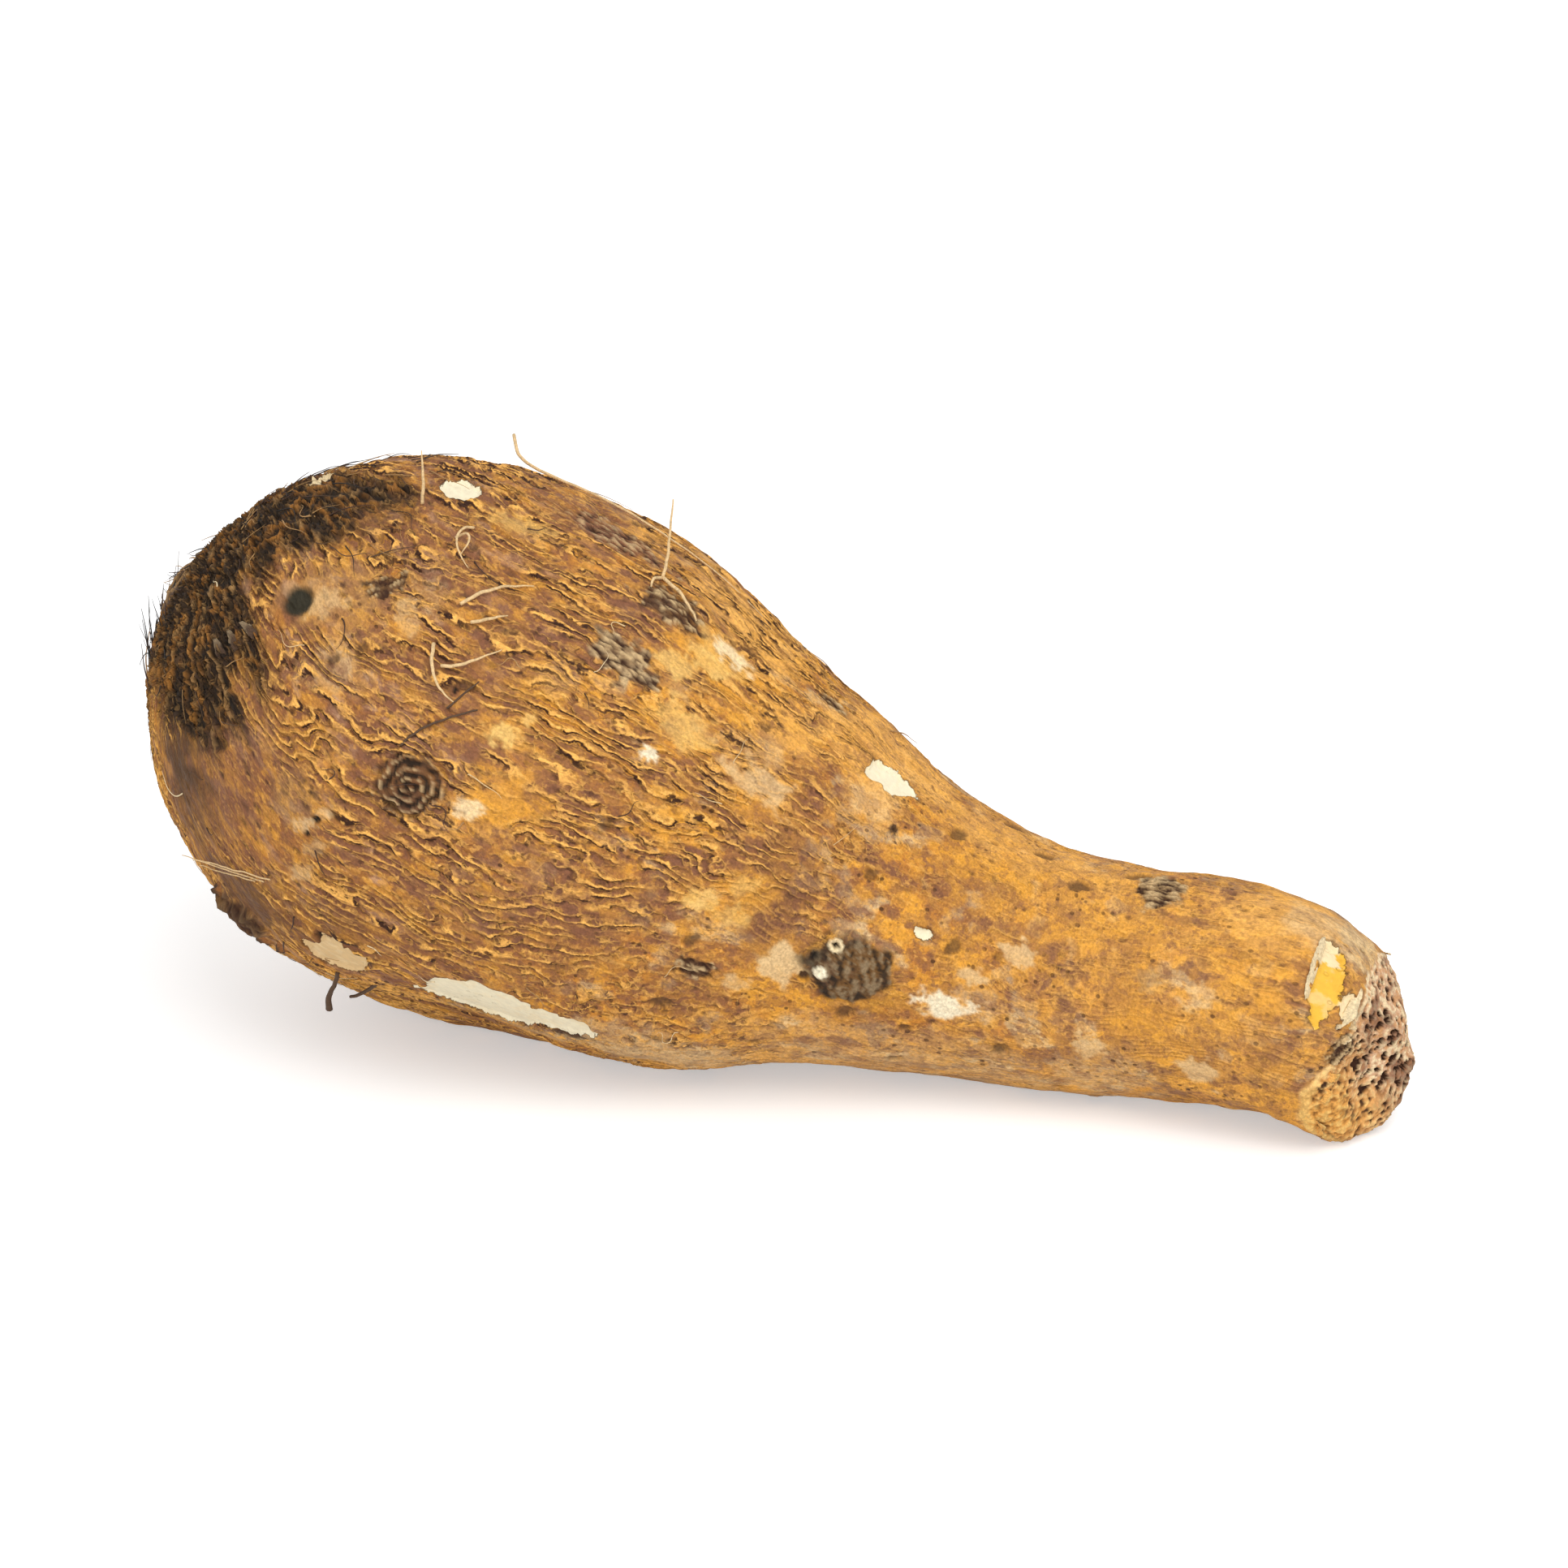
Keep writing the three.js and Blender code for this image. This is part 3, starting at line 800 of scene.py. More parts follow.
def at(skin, reach, angle, height):
    """Points at distances from the growing point and angles round the root, raised off the calm skin."""
    reach, angle, height = np.broadcast_arrays(reach, angle, height)
    angle = np.where(reach < 0, angle + 180, angle)
    row = np.interp(abs(reach), skin.length, np.arange(len(skin.length)))
    column = angle / 360 * COLUMNS
    i = np.clip(row.astype(int), 0, len(skin.length) - 2)
    j = np.floor(column).astype(int)
    s, t = (row - i)[..., None], (column - j)[..., None]

    def blend(grid):
        first = (1 - t) * grid[i, j % COLUMNS] + t * grid[i, (j + 1) % COLUMNS]
        second = (1 - t) * grid[i + 1, j % COLUMNS] + t * grid[i + 1, (j + 1) % COLUMNS]
        return (1 - s) * first + s * second

    return blend(skin.calm) + blend(skin.out) * height[..., None]


def girth_at(skin, reach):
    """The radius of the root at a distance from the growing point, and never next to nothing."""
    return np.maximum(np.interp(abs(reach), skin.length, skin.girth[:, 0]), LOOSE_GIRTH)


def halved(a, b, c, d):
    """The two triangles of each four-sided face, from arrays of the numbers of its corners."""
    return np.concatenate([np.stack(half, -1).reshape(-1, 3) for half in ((a, b, c), (a, c, d))])


class Heap:
    """Loose shapes gathered into one mesh, with a colour at each vertex."""

    def __init__(self):
        self.points, self.triangles, self.tints = [], [], []
        self.total = 0

    def add(self, points, triangles, tints):
        self.points.append(points)
        self.triangles.append(triangles + self.total)
        self.tints.append(np.broadcast_to(tints, points.shape))
        self.total += len(points)

    def piece(self, name, slot, material):
        points = np.concatenate(self.points)
        points[:, 2] = np.maximum(points[:, 2], LOOSE_FLOOR)
        made = new_mesh(name, points, np.concatenate(self.triangles))
        store(made.data, "grain", "FLOAT_VECTOR", points)
        store(made.data, "tint", "FLOAT_COLOR", with_alpha(np.concatenate(self.tints)))
        made.data.materials.append(material)
        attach(made, "root")


def tubes(paths, radii, sides):
    """Round threads. paths is (threads, points, 3) and radii (threads, points)."""
    count, steps = radii.shape
    ahead = unit(np.gradient(paths, axis=1))
    chord = abs(paths[:, -1] - paths[:, 0])
    least = np.eye(3)[np.argmin(chord, axis=1)][:, None]
    side = unit(np.cross(ahead, least))
    up = np.cross(ahead, side)
    turns = np.arange(sides) * 2 * math.pi / sides
    ring = np.cos(turns)[:, None] * side[:, :, None] + np.sin(turns)[:, None] * up[:, :, None]
    points = (paths[:, :, None] + radii[..., None, None] * ring).reshape(-1, 3)
    start = (np.arange(count)[:, None, None] * steps + np.arange(steps - 1)[:, None]) * sides
    s = np.arange(sides)
    a, b = start + s, start + (s + 1) % sides
    walls = halved(a, b, b + sides, a + sides)
    k = np.arange(1, sides - 1)
    first = (np.arange(count) * steps * sides)[:, None]
    last = first + (steps - 1) * sides
    near = np.stack([first + 0 * k, first + k + 1, first + k], -1)
    far = np.stack([last + 0 * k, last + k, last + k + 1], -1)
    return points, np.concatenate([part.reshape(-1, 3) for part in (walls, near, far)])


def thread(skin, heap, colour, radius, tip, places):
    """A rootlet along a smooth path through places of (x, angle, height). Its end is tip times as thick."""
    count = 30
    x, angle, height = np.array(places, float).T
    knots = at(skin, reach_of(skin, x), angle, height)
    ends = (2 * knots[:1] - knots[1:2], 2 * knots[-1:] - knots[-2:-1])
    knots = np.concatenate([ends[0], knots, ends[1]])
    path = spline_weights(np.linspace(0, len(places) - 1, count), len(places)) @ knots
    path += 0.12 * np.stack([noise(path / 1.3, seed) for seed in (1, 2, 3)], -1)
    radii = radius * (1 + (tip - 1) * np.linspace(0, 1, count) ** 2)
    heap.add(*tubes(path[None], radii[None], 7), colour)


def hairs(skin, heap, count, reach, angle, heading, length, radius, lift, wave, colours, seed):
    """Many fine hairs. reach, angle, heading, length and lift are the ranges that each is dealt from."""
    rng = np.random.default_rng(seed)
    steps = 12
    t = np.linspace(0, 1, steps)

    def dealt(limits):
        return rng.uniform(*limits, (count, 1))

    start, turn, way, size, rise = (dealt(limits) for limits in (reach, angle, heading, length, lift))
    bend = rng.normal(0, wave, (count, 2, 1))
    way = np.radians(way + bend[:, 0] * t + 0.6 * bend[:, 1] * np.sin(2 * math.pi * t))
    step = size / (steps - 1)
    along = start + np.cumsum(step * np.cos(way), 1) - step * np.cos(way[:, :1])
    around = np.cumsum(step * np.sin(way), 1)
    turned = turn + np.degrees(around / girth_at(skin, start))
    height = 0.1 + rise * t**1.6 + 0.25 * np.sin(math.pi * t)
    paths = at(skin, along, turned, height)
    radii = radius * rng.uniform(0.6, 1.4, (count, 1)) * (1 - 0.75 * t)
    points, triangles = tubes(paths, radii, 4)
    picks = np.array(colours)[rng.integers(len(colours), size=count)]
    heap.add(points, triangles, np.repeat(picks, steps * 4, axis=0))


def flake(skin, heap, reach, angle, heading, length, width, bend, colours, ragged, thick, seed):
    """A scrap of skin that lies on the root at its foot and lifts towards its torn end.
    colours are those of its foot, its end and its underside; bend is how far it turns up, in radians."""
    count = 16
    u, v = np.meshgrid(np.linspace(0, 1, count), np.linspace(-0.5, 0.5, count), indexing="ij")
    tear = np.stack([v * width / 1.4, 0 * v + 3.7 * seed, 0 * v], -1)
    distance = u * length * (1 + ragged * cloud(tear, 81)) * (1 - 1.2 * v**2)
    across = v * width * (1 - 0.3 * u**2) + 0.25 * noise(np.stack([u * 4, v * 4, 0 * v + seed], -1), 82)
    radius = length / bend
    advance, height = radius * np.sin(distance / radius), radius * (1 - np.cos(distance / radius))
    way = math.radians(heading)
    along = reach + advance * math.cos(way) - across * math.sin(way)
    around = advance * math.sin(way) + across * math.cos(way)
    creases = noise(np.stack([u * 3, v * 5, 0 * v + seed], -1), 83)
    height = height + 0.25 - 0.6 * (1 - u) ** 3 + 0.15 * creases
    turned = angle + np.degrees(around / girth_at(skin, reach))
    top = at(skin, along, turned, height)
    out = at(skin, along, turned, 1.0) - at(skin, along, turned, 0.0)
    below = top - out * (thick * (1 - 0.6 * u) + 0.02)[..., None]
    points = np.concatenate([top.reshape(-1, 3), below.reshape(-1, 3)])
    i, j = np.meshgrid(np.arange(count - 1), np.arange(count - 1), indexing="ij")
    a = (i * count + j).ravel()
    d = a + count + 1
    top_faces = halved(a, a + count, d, a + 1)
    edge = np.concatenate([
        np.arange(count),
        np.arange(2, count + 1) * count - 1,
        np.arange(count * count - 2, count * (count - 1) - 1, -1),
        np.arange(count - 2, 0, -1) * count,
    ])
    follow = np.roll(edge, -1)
    low = count * count
    walls = halved(edge, follow, follow + low, edge + low)
    triangles = np.concatenate([top_faces, top_faces[:, ::-1] + low, walls])
    foot, end, under = (np.array(colour) for colour in colours)
    share = smooth(0.45, 0.95, u)[..., None]
    tints = np.concatenate([(foot * (1 - share) + end * share).reshape(-1, 3), np.zeros((low, 3)) + under])
    heap.add(points, triangles, tints)


# ---- Meshes ----


def with_alpha(colours):
    """The colours with a fourth number, 1."""
    return np.concatenate([colours, np.ones(colours.shape[:-1] + (1,))], -1)


def new_mesh(name, points, triangles):
    """A smooth-shaded object from points in millimetres and triangles of their numbers."""
    mesh = bpy.data.meshes.new(name)
    mesh.vertices.add(len(points))
    mesh.vertices.foreach_set("co", (points * MM).astype(np.float32).ravel())
    mesh.loops.add(3 * len(triangles))
    mesh.loops.foreach_set("vertex_index", triangles.astype(np.int32).ravel())
    mesh.polygons.add(len(triangles))
    mesh.polygons.foreach_set("loop_start", np.arange(0, 3 * len(triangles), 3, dtype=np.int32))
    mesh.update(calc_edges=True)
    mesh.validate()
    mesh.shade_smooth()
    made = bpy.data.objects.new(name, mesh)
    bpy.context.scene.collection.objects.link(made)
    return made


def store(mesh, name, kind, values):
    """Keeps numbers or colours at the vertices for the materials to read."""
    attribute = mesh.attributes.new(name, kind, "POINT")
    field = {"FLOAT": "value", "FLOAT_VECTOR": "vector", "FLOAT_COLOR": "color"}[kind]
    attribute.data.foreach_set(field, values.astype(np.float32).ravel())


def skin_piece(skin, name, first, last, material):
    """The band of skin from one row of the grid to another. A pole's row is one vertex."""
    rows = np.arange(first, last + 1)
    i, j = np.meshgrid(np.arange(len(rows) - 1), np.arange(COLUMNS), indexing="ij")
    a, b = i * COLUMNS + j, i * COLUMNS + (j + 1) % COLUMNS
    total = len(rows) * COLUMNS
    numbers = np.arange(total)
    if first == 0:
        numbers[:COLUMNS] = 0
    if last == len(skin.length) - 1:
        numbers[-COLUMNS:] = total - COLUMNS
    triangles = numbers[halved(a, b, b + COLUMNS, a + COLUMNS)]
    real = (triangles[:, 0] != triangles[:, 1]) & (triangles[:, 1] != triangles[:, 2])
    triangles = triangles[real & (triangles[:, 2] != triangles[:, 0])]
    kept, triangles = np.unique(triangles, return_inverse=True)

    def band(values):
        return values[rows].reshape(total, -1)[kept]

    made = new_mesh(name, band(skin.final), triangles.reshape(-1, 3))
    store(made.data, "grain", "FLOAT_VECTOR", band(skin.grain))
    for colour in ("tint", "under"):
        store(made.data, colour, "FLOAT_COLOR", with_alpha(band(getattr(skin, colour))))
    for number in ("peel", "ridge", "waves", "mottle", "net"):
        store(made.data, number, "FLOAT", band(getattr(skin, number)))
    made.data.normals_split_custom_set_from_vertices(band(skin.final_out))
    made.data.materials.append(material)
    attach(made, "root")
    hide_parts(ROOT)


# ---- Materials ----


class Graph:
    """The nodes of a material or a world, made by short calls. An input is a value or a node's output."""

    def __init__(self, owner):
        self.owner = owner
        owner.use_nodes = True
        self.tree = owner.node_tree
        self.shader = self.tree.nodes.get("Principled BSDF") or self.tree.nodes["Background"]

    def put(self, socket, value):
        """Sets an input to a value, or links it to a node's output."""
        if isinstance(value, bpy.types.NodeSocket):
            self.tree.links.new(value, socket)
        else:
            socket.default_value = value

    def node(self, kind, inputs=None, **settings):
        made = self.tree.nodes.new("ShaderNode" + kind)
        for key, value in settings.items():
            setattr(made, key, value)
        for key, value in (inputs or {}).items():
            self.put(made.inputs[key], value)
        return made

    def shine(self, **inputs):
        """Sets the shader's own inputs. A _ stands for each space in their names."""
        for name, value in inputs.items():
            self.put(self.shader.inputs[name.replace("_", " ")], value)

    def attribute(self, name, output="Fac"):
        return self.node("Attribute", attribute_name=name).outputs[output]

    def maths(self, operation, *values, kind="Math"):
        made = self.node(kind, operation=operation)
        for socket, value in zip(made.inputs, values):
            self.put(socket, value)
        return made.outputs[0]

    def vector(self, operation, *values):
        return self.maths(operation, *values, kind="VectorMath")

    def product(self, *values):
        return reduce(partial(self.maths, "MULTIPLY"), values)

    def total(self, *values):
        return reduce(partial(self.maths, "ADD"), values)

    def span(self, value, low, high, to_low=0.0, to_high=1.0):
        """A smooth step from to_low at low to to_high at high."""
        inputs = {"Value": value, "From Min": low, "From Max": high, "To Min": to_low, "To Max": to_high}
        return self.node("MapRange", inputs, interpolation_type="SMOOTHSTEP").outputs["Result"]

    def noise(self, vector, scale, detail, rough):
        inputs = {"Vector": vector, "Scale": scale, "Detail": detail, "Roughness": rough}
        return self.node("TexNoise", inputs).outputs["Fac"]

    def stretched(self, vector, *scale):
        """The vector with its X, Y and Z scaled."""
        return self.node("Mapping", {"Vector": vector, "Scale": scale}).outputs[0]

    def mix(self, share, first, second, blend="MIX"):
        """Two colours mixed. A Mix node has its colours in inputs 6 and 7, and in output 2."""
        made = self.node("Mix", data_type="RGBA", blend_type=blend)
        for socket, value in zip((made.inputs[0], made.inputs[6], made.inputs[7]), (share, first, second)):
            self.put(socket, (*value, 1) if isinstance(value, tuple) else value)
        return made.outputs[2]

    def over(self, colour, tone, *shares):
        """The colour with a tone laid over it, as far as the product of the shares."""
        return self.mix(self.product(*shares), colour, tone)

    def plates(self, place, warp, *scale):
        """Cells 1 unit wide with wavy borders: the distance to a border, and a number for each cell."""
        moved = self.vector("MULTIPLY_ADD", warp, (1.6, 1.6, 1.6), self.stretched(place, *scale))
        edge = self.node("TexVoronoi", {"Vector": moved, "Scale": 1.0}, feature="DISTANCE_TO_EDGE")
        cell = self.node("TexVoronoi", {"Vector": moved, "Scale": 1.0}).outputs["Color"]
        return edge.outputs["Distance"], self.node("SeparateColor", {"Color": cell}).outputs["Red"]

    def shade(self, colour, value):
        """The colour times a grey value."""
        grey = self.node("CombineColor", {"Red": value, "Green": value, "Blue": value}).outputs[0]
        return self.mix(1.0, colour, grey, "MULTIPLY")

    def relief(self, height):
        """Bump from a height in millimetres."""
        bump = self.node("Bump", {"Height": height, "Strength": 1.0, "Distance": MM})
        self.shine(Normal=bump.outputs[0])


def ridge_phase(g, grain, waves, wander):
    """Where a point is across the ridges, each 1 wide, as the mesh has it but with a finer wander."""
    parts = g.node("SeparateXYZ", {"Vector": grain}).outputs
    turn = g.maths("DIVIDE", g.maths("ARCTAN2", parts["Z"], parts["Y"]), 2 * math.pi)
    return g.total(g.product(turn, RIDGES), waves, wander)


def skin_material():
    """The vertices' colours, broken up by scales, ridge lines, flecks and specks finer than the mesh."""
    g = Graph(bpy.data.materials.new("taro_skin"))
    grain = g.attribute("grain", "Vector")
    ridge, waves, mottle, net = (g.attribute(name) for name in ("ridge", "waves", "mottle", "net"))
    blotches = g.noise(g.stretched(grain, 0.80, 1.0, 1.0), 0.42, 4, 0.6)
    long_grain = g.stretched(grain, 0.85, 1.0, 1.0)
    flecks = g.noise(long_grain, 1.15, 3, 0.5)
    streaks = g.noise(g.stretched(grain, 0.16, 1.0, 1.0), 1.1, 2, 0.5)
    dust = g.noise(grain, 2.6, 3, 0.6)

    # scales with a pale edge and a shadow below it, and mottling in patches, flecks and whole scales
    warp = g.node("TexNoise", {"Vector": grain, "Scale": 0.45, "Detail": 2.0}).outputs["Color"]
    scales = (0.24, 0.58, 0.58)  # so many to a millimetre along the root and across it
    edge, cell = g.plates(grain, warp, *scales)
    around = g.vector("NORMALIZE", g.vector("CROSS_PRODUCT", (1, 0, 0), grain))
    shifted = g.vector("MULTIPLY_ADD", around, (-0.35, -0.35, -0.35), grain)
    below, _ = g.plates(shifted, warp, *scales)
    scaly = g.product(mottle, g.span(ridge, 0.0, 0.5, 0.15, 1.0), g.span(streaks, 0.42, 0.54, 0.15, 1.0))
    plate_edge = g.product(g.span(edge, 0.11, 0.04), scaly)
    shadow = g.product(g.span(below, 0.12, 0.05), scaly)
    colour = g.attribute("tint", "Color")
    mottling = [
        (blotches, 0.53, 0.59, 0.45, GOLD),
        (blotches, 0.47, 0.42, 0.55, MAUVE),
        (flecks, 0.56, 0.64, 0.40, CREST),
        (flecks, 0.43, 0.37, 0.50, MAUVE),
        (cell, 0.70, 0.80, 0.25, GOLD),
        (cell, 0.35, 0.25, 0.40, MAUVE),
    ]
    for pattern, none, full, share, tone in mottling:
        colour = g.over(colour, tone, g.span(pattern, none, full, 0, share), mottle)
    colour = g.over(colour, CLEFT_AND_SHADOW, shadow, 0.55)
    colour = g.over(colour, CREST, plate_edge, 0.70)

    # a pale line along each ridge's crest, painted shadow below it, and painted shade in mauve in the hollow
    # between ridges
    wander = g.product(g.maths("SUBTRACT", flecks, 0.5), 0.8)
    across = g.maths("FRACT", ridge_phase(g, grain, waves, wander))
    broken = g.span(streaks, 0.40, 0.56)
    past = g.maths("SUBTRACT", across, CREST_AT)
    crest = g.product(g.span(past, -0.32, -0.12), g.span(past, 0.06, 0.0))
    # painted shadow on the steep side below each crest
    cleft_shadow = g.product(g.span(past, 0.03, 0.10), g.span(past, 0.34, 0.16))
    # painted shade in the hollow between ridges
    hollow = g.product(g.span(across, 0.42, 0.05), ridge)
    colour = g.over(colour, MAUVE, hollow, 0.65)
    colour = g.over(colour, CREST, crest, ridge, g.span(broken, 0, 1, 0.35, 1.0))
    colour = g.over(colour, CLEFT_AND_SHADOW, cleft_shadow, ridge, g.span(broken, 0, 1, 0.4, 1.0))

    # dark specks, in patches
    dots = g.node("TexVoronoi", {"Vector": long_grain, "Scale": 0.75}).outputs["Distance"]
    speck = g.product(g.span(dots, 0.26, 0.13), g.span(g.noise(grain, 0.16, 2, 0.5), 0.45, 0.60), mottle)
    colour = g.over(colour, CLEFT_AND_SHADOW, speck, 0.8)

    # the net of the crown and of the corky eyes, and dust over all
    web, _ = g.plates(grain, warp, 0.38, 0.62, 0.62)
    strand = g.span(web, 0.14, 0.05)
    fibres = g.mix(g.span(flecks, 0.50, 0.65), UMBER, TAN)
    colour = g.over(colour, g.mix(strand, SOOT, fibres), net, 0.3)
    colour = g.shade(colour, g.span(dust, 0.32, 0.68, 0.82, 1.15))

    # the flesh of the peeled places, with a dark band round it in streaks: partly a crease, partly painted
    # shadow of the skin's torn edge
    frayed = g.maths("SUBTRACT", g.noise(grain, 0.9, 4, 0.65), 0.5)
    inside = g.total(g.attribute("peel"), frayed)
    bare = g.span(inside, -0.03, 0.05)
    flesh = g.mix(g.span(blotches, 0.50, 0.62, 0, 0.35), g.attribute("under", "Color"), CREAM)
    flesh = g.shade(flesh, g.span(flecks, 0.3, 0.7, 0.93, 1.03))
    # the dark band round the flesh: partly a crease, partly painted shadow of the skin's edge
    rim = g.product(g.span(inside, -0.40, -0.08), g.span(inside, 0.04, -0.02))
    colour = g.over(colour, CLEFT_AND_SHADOW, rim, g.span(streaks, 0.40, 0.60, 0.0, 0.55))
    colour = g.mix(bare, colour, flesh)

    covered = g.maths("SUBTRACT", 1.0, bare)
    height = g.total(
        g.product(covered, 0.22),
        g.product(flecks, 0.30, covered),
        g.product(dust, 0.08),
        g.product(g.maths("MAXIMUM", g.product(crest, ridge), plate_edge), covered, 0.15),
        g.product(shadow, covered, -0.12),
        g.product(strand, net, 0.25),
        g.product(speck, -0.15),
    )
    g.relief(height)
    roughness = g.span(flecks, 0.3, 0.7, 0.62, 0.85)
    g.shine(Base_Color=colour, Roughness=roughness, Specular_IOR_Level=0.2)
    return g.owner


def loose_material(name, roughness, relief):
    """For scraps and rootlets: the vertices' colours with fine fibrous variation."""
    g = Graph(bpy.data.materials.new(name))
    grain = g.attribute("grain", "Vector")
    fine = g.noise(grain, 2.6, 4, 0.7)
    coarse = g.noise(grain, 0.8, 3, 0.6)
    colour = g.shade(g.attribute("tint", "Color"), g.span(fine, 0.3, 0.7, 0.75, 1.2))
    colour = g.mix(g.span(coarse, 0.5, 0.7, 0, 0.2), colour, UMBER)
    g.relief(g.product(fine, relief))
    g.shine(Base_Color=colour, Roughness=roughness)
    return g.owner


# ---- Stage ----

AZIMUTH, ELEVATION = 14.0, 23.0  # where the camera stands, in degrees
DISTANCE = 0.640  # from the camera to the middle of the root, in metres
LENS = 109.0
FLOOR_SIZE = 9000.0  # from the root to each side of the floor
FLOOR_GREY, WHITE = (0.8, 0.8, 0.8, 1), (1, 1, 1, 1)
FLOOR_GLOW = 0.40  # what whitens the floor where it is seen, and lights nothing
AMBIENT = 0.76  # strength of the even light


def seen_directly(g):
    """1 for camera, glossy and transmission rays, 0 for the light that falls on the root."""
    rays = g.node("LightPath").outputs
    seen = [rays[kind] for kind in ("Is Camera Ray", "Is Glossy Ray", "Is Transmission Ray")]
    return reduce(partial(g.maths, "MAXIMUM"), seen)


def stage():
    """A white floor, a soft light from above, a weaker one from in front, and even light from all round."""
    corners = np.array([[-1, -1, 0], [1, -1, 0], [1, 1, 0], [-1, 1, 0]]) * FLOOR_SIZE
    floor = new_mesh("floor", corners, np.array([[0, 1, 2], [0, 2, 3]]))
    g = Graph(bpy.data.materials.new("white_floor"))
    glow = g.product(seen_directly(g), FLOOR_GLOW)
    g.shine(Base_Color=FLOOR_GREY, Roughness=1.0, Emission_Color=WHITE, Emission_Strength=glow)
    floor.data.materials.append(g.owner)

    g = Graph(bpy.data.worlds.new("studio"))
    strength = g.node("MapRange", {"Value": seen_directly(g), "To Min": AMBIENT}).outputs["Result"]
    g.shine(Color=WHITE, Strength=strength)
    bpy.context.scene.world = g.owner

    lamp("key", (0.30, -0.40, 0.80), 0.65, 3.8)
    lamp("front", (0.05, -0.85, 0.22), 0.60, 2.0)


def lamp(name, place, size, power):
    """A square soft light that points at the root."""
    light = bpy.data.lights.new(name, "AREA")
    light.size = size
    light.energy = power
    holder = bpy.data.objects.new(name, light)
    holder.location = place
    holder.rotation_euler = (-Vector(place)).to_track_quat("-Z", "Y").to_euler()
    bpy.context.scene.collection.objects.link(holder)


def camera():
    """The camera at the photograph's angle, aimed at the middle of the root."""
    low, high = (Vector(corner) for corner in cad_box)
    turn, lift = math.radians(AZIMUTH), math.radians(ELEVATION)
    back = Vector((math.sin(turn) * math.cos(lift), -math.cos(turn) * math.cos(lift), math.sin(lift)))
    eye = bpy.data.objects.new("camera", bpy.data.cameras.new("camera"))
    eye.data.lens = LENS
    eye.data.clip_start, eye.data.clip_end = 0.01, 50
    eye.location = (low + high) / 2 + back * DISTANCE
    eye.rotation_mode = "QUATERNION"
    eye.rotation_quaternion = (-back).to_track_quat("-Z", "Y")
    bpy.context.scene.collection.objects.link(eye)
    bpy.context.scene.camera = eye
    bpy.context.scene.view_settings.view_transform = "Standard"


# ---- The root ----


def detailed_skin():
    """The fine grid with every layer of colour and relief on it."""
    skin = fine_grid()
    shape = skin.place.shape[:2]
    skin.lift, skin.mottle = np.zeros(shape), np.ones(shape)
    skin.ridge, skin.waves, skin.net = np.zeros(shape), np.zeros(shape), np.zeros(shape)
    skin.peel, skin.under = np.full(shape, NO_PEEL), np.zeros(shape + (3,)) + CREAM
    ground_colour(skin)
    lumps(skin)
    skin.calm = skin.place + skin.out * skin.lift[..., None]
    ridges(skin)
    specks(skin)
    scars(skin)
    crown(skin)
    marks = [(scuff, SCUFFS), (peel, PEELS), (corky_eye, CORKY_EYES), (ringed_eye, RINGED_EYES)]
    for make, places in marks:
        for place in places:
            make(skin, *place)
    neck_eye(skin)
    for place in HOLES:
        hole(skin, *place)
    torn_end(skin)
    hole(skin, 77.5, 155.8, 0.5, 0.6)
    corky_eye(skin, 78.8, 169.5, 2.4, 1.6, 60, UMBER, -0.2, 66)
    skin.final = skin.place + skin.out * skin.lift[..., None]
    for pole in (0, -1):
        skin.final[pole] = skin.final[pole].mean(0)
    skin.final[..., 2] = np.maximum(skin.final[..., 2], 0)
    skin.final_out = normals_of(skin.final)
    return skin


def rootlets(skin):
    """The rootlets that still hang on, and the fibres of the crown."""
    heaps = {name: Heap() for name in ("rootlets_pale", "rootlets_dark", "crown_fibres")}
    for name, colour, threads in (("rootlets_pale", BEIGE, PALE), ("rootlets_dark", UMBER, DARK)):
        for radius, tip, places in threads:
            thread(skin, heaps[name], colour, radius, tip, places)
    for name, *settings in HAIRS:
        hairs(skin, heaps[name], *settings)
    material = loose_material("taro_rootlet", 0.75, 0.10)
    for name, heap in heaps.items():
        heap.piece(name, "rootlet", material)


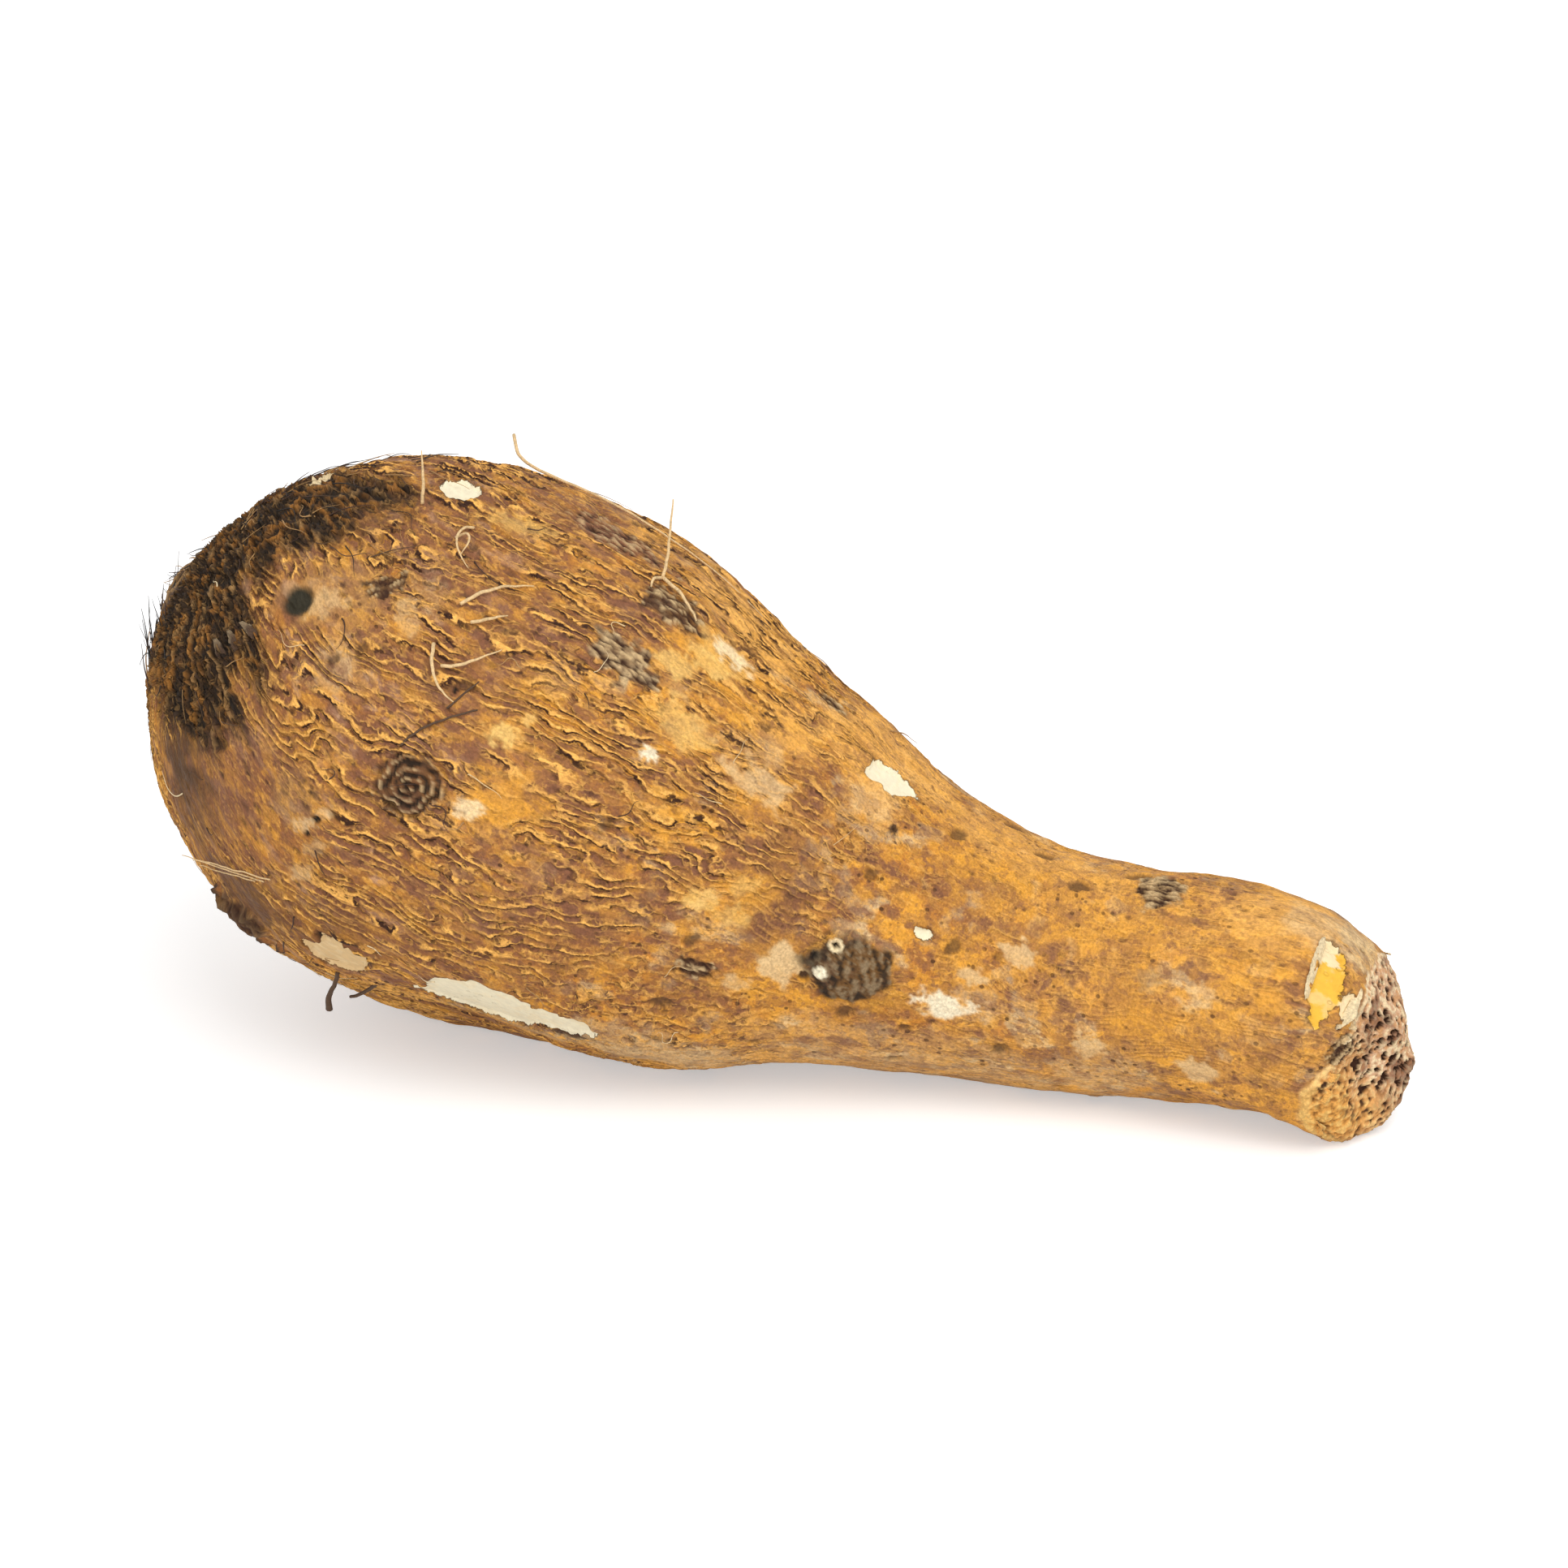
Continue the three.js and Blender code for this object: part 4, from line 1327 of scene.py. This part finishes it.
def scraps(skin):
    """The stubs of leaf bases at the crown, and the flaps and curled edges of torn skin."""
    rng = np.random.default_rng(21)
    stubs, torn = Heap(), Heap()
    for reach, count in ((6.5, 7), (10.0, 9)):
        for k in range(count):
            angle = 360 * (k + 0.5 * rng.random()) / count
            width = 6.0 * girth_at(skin, reach) / count
            colours = (UMBER, TAN if rng.random() < 0.4 else GREY, SOOT)
            size = 3.4 * rng.uniform(0.7, 1.2)
            seed = int(rng.integers(999))
            flake(skin, stubs, reach, angle, 180, size, width, 0.3, colours, 0.45, 0.45, seed)
    for reach, angle, heading in ((39.0, 146, 205), (36.5, 151, 220), (42.0, 141, 190)):
        flake(skin, stubs, reach, angle, heading, 2.6, 1.8, 0.5, (UMBER, GREY, SOOT), 0.4, 0.4, reach)
    dark_flap = (BROWN, UMBER, SOOT)
    for x, angle, heading, length, width, bend in FLAPS:
        reach = reach_of(skin, x)
        flake(skin, torn, reach, angle, heading, length, width, bend, dark_flap, 0.45, 0.4, length)
    curl = (CREAM, CREAM, BEIGE)
    flake(skin, torn, reach_of(skin, 73.4), 129, 178, 1.1, 10.0, 1.2, curl, 0.3, 0.2, 13)
    flake(skin, torn, reach_of(skin, 77.4), 142, 5, 1.2, 7.0, 1.0, curl, 0.3, 0.2, 14)
    end = skin.length[-1] - BREAK_REACH
    for k in range(RIM_FLAKES):
        angle = 130 + 285 * (k + rng.random()) / RIM_FLAKES
        colours = (CREST, BUTTER, TAN) if 180 < angle < 260 else (BEIGE, CREAM, TAN)
        size, width, heading = (rng.uniform(*limits) for limits in ((0.7, 1.3), (1.0, 2.0), (-25, 25)))
        flake(skin, torn, end - 0.6, angle, heading, size, width, 0.45, colours, 0.5, 0.2, 30 + k)
    material = loose_material("taro_scrap", 0.8, 0.35)
    stubs.piece("leaf_stubs", "skin", material)
    torn.piece("torn_skin", "skin", material)


camera()
stage()
skin = detailed_skin()
material = skin_material()
first = 0
for name, x in BANDS.items():
    last = int(np.argmin(abs(skin.station - x)))
    skin_piece(skin, name, first, last, material)
    first = last
skin_piece(skin, "skin_broken_end", first, len(skin.length) - 1, material)
rootlets(skin)
scraps(skin)
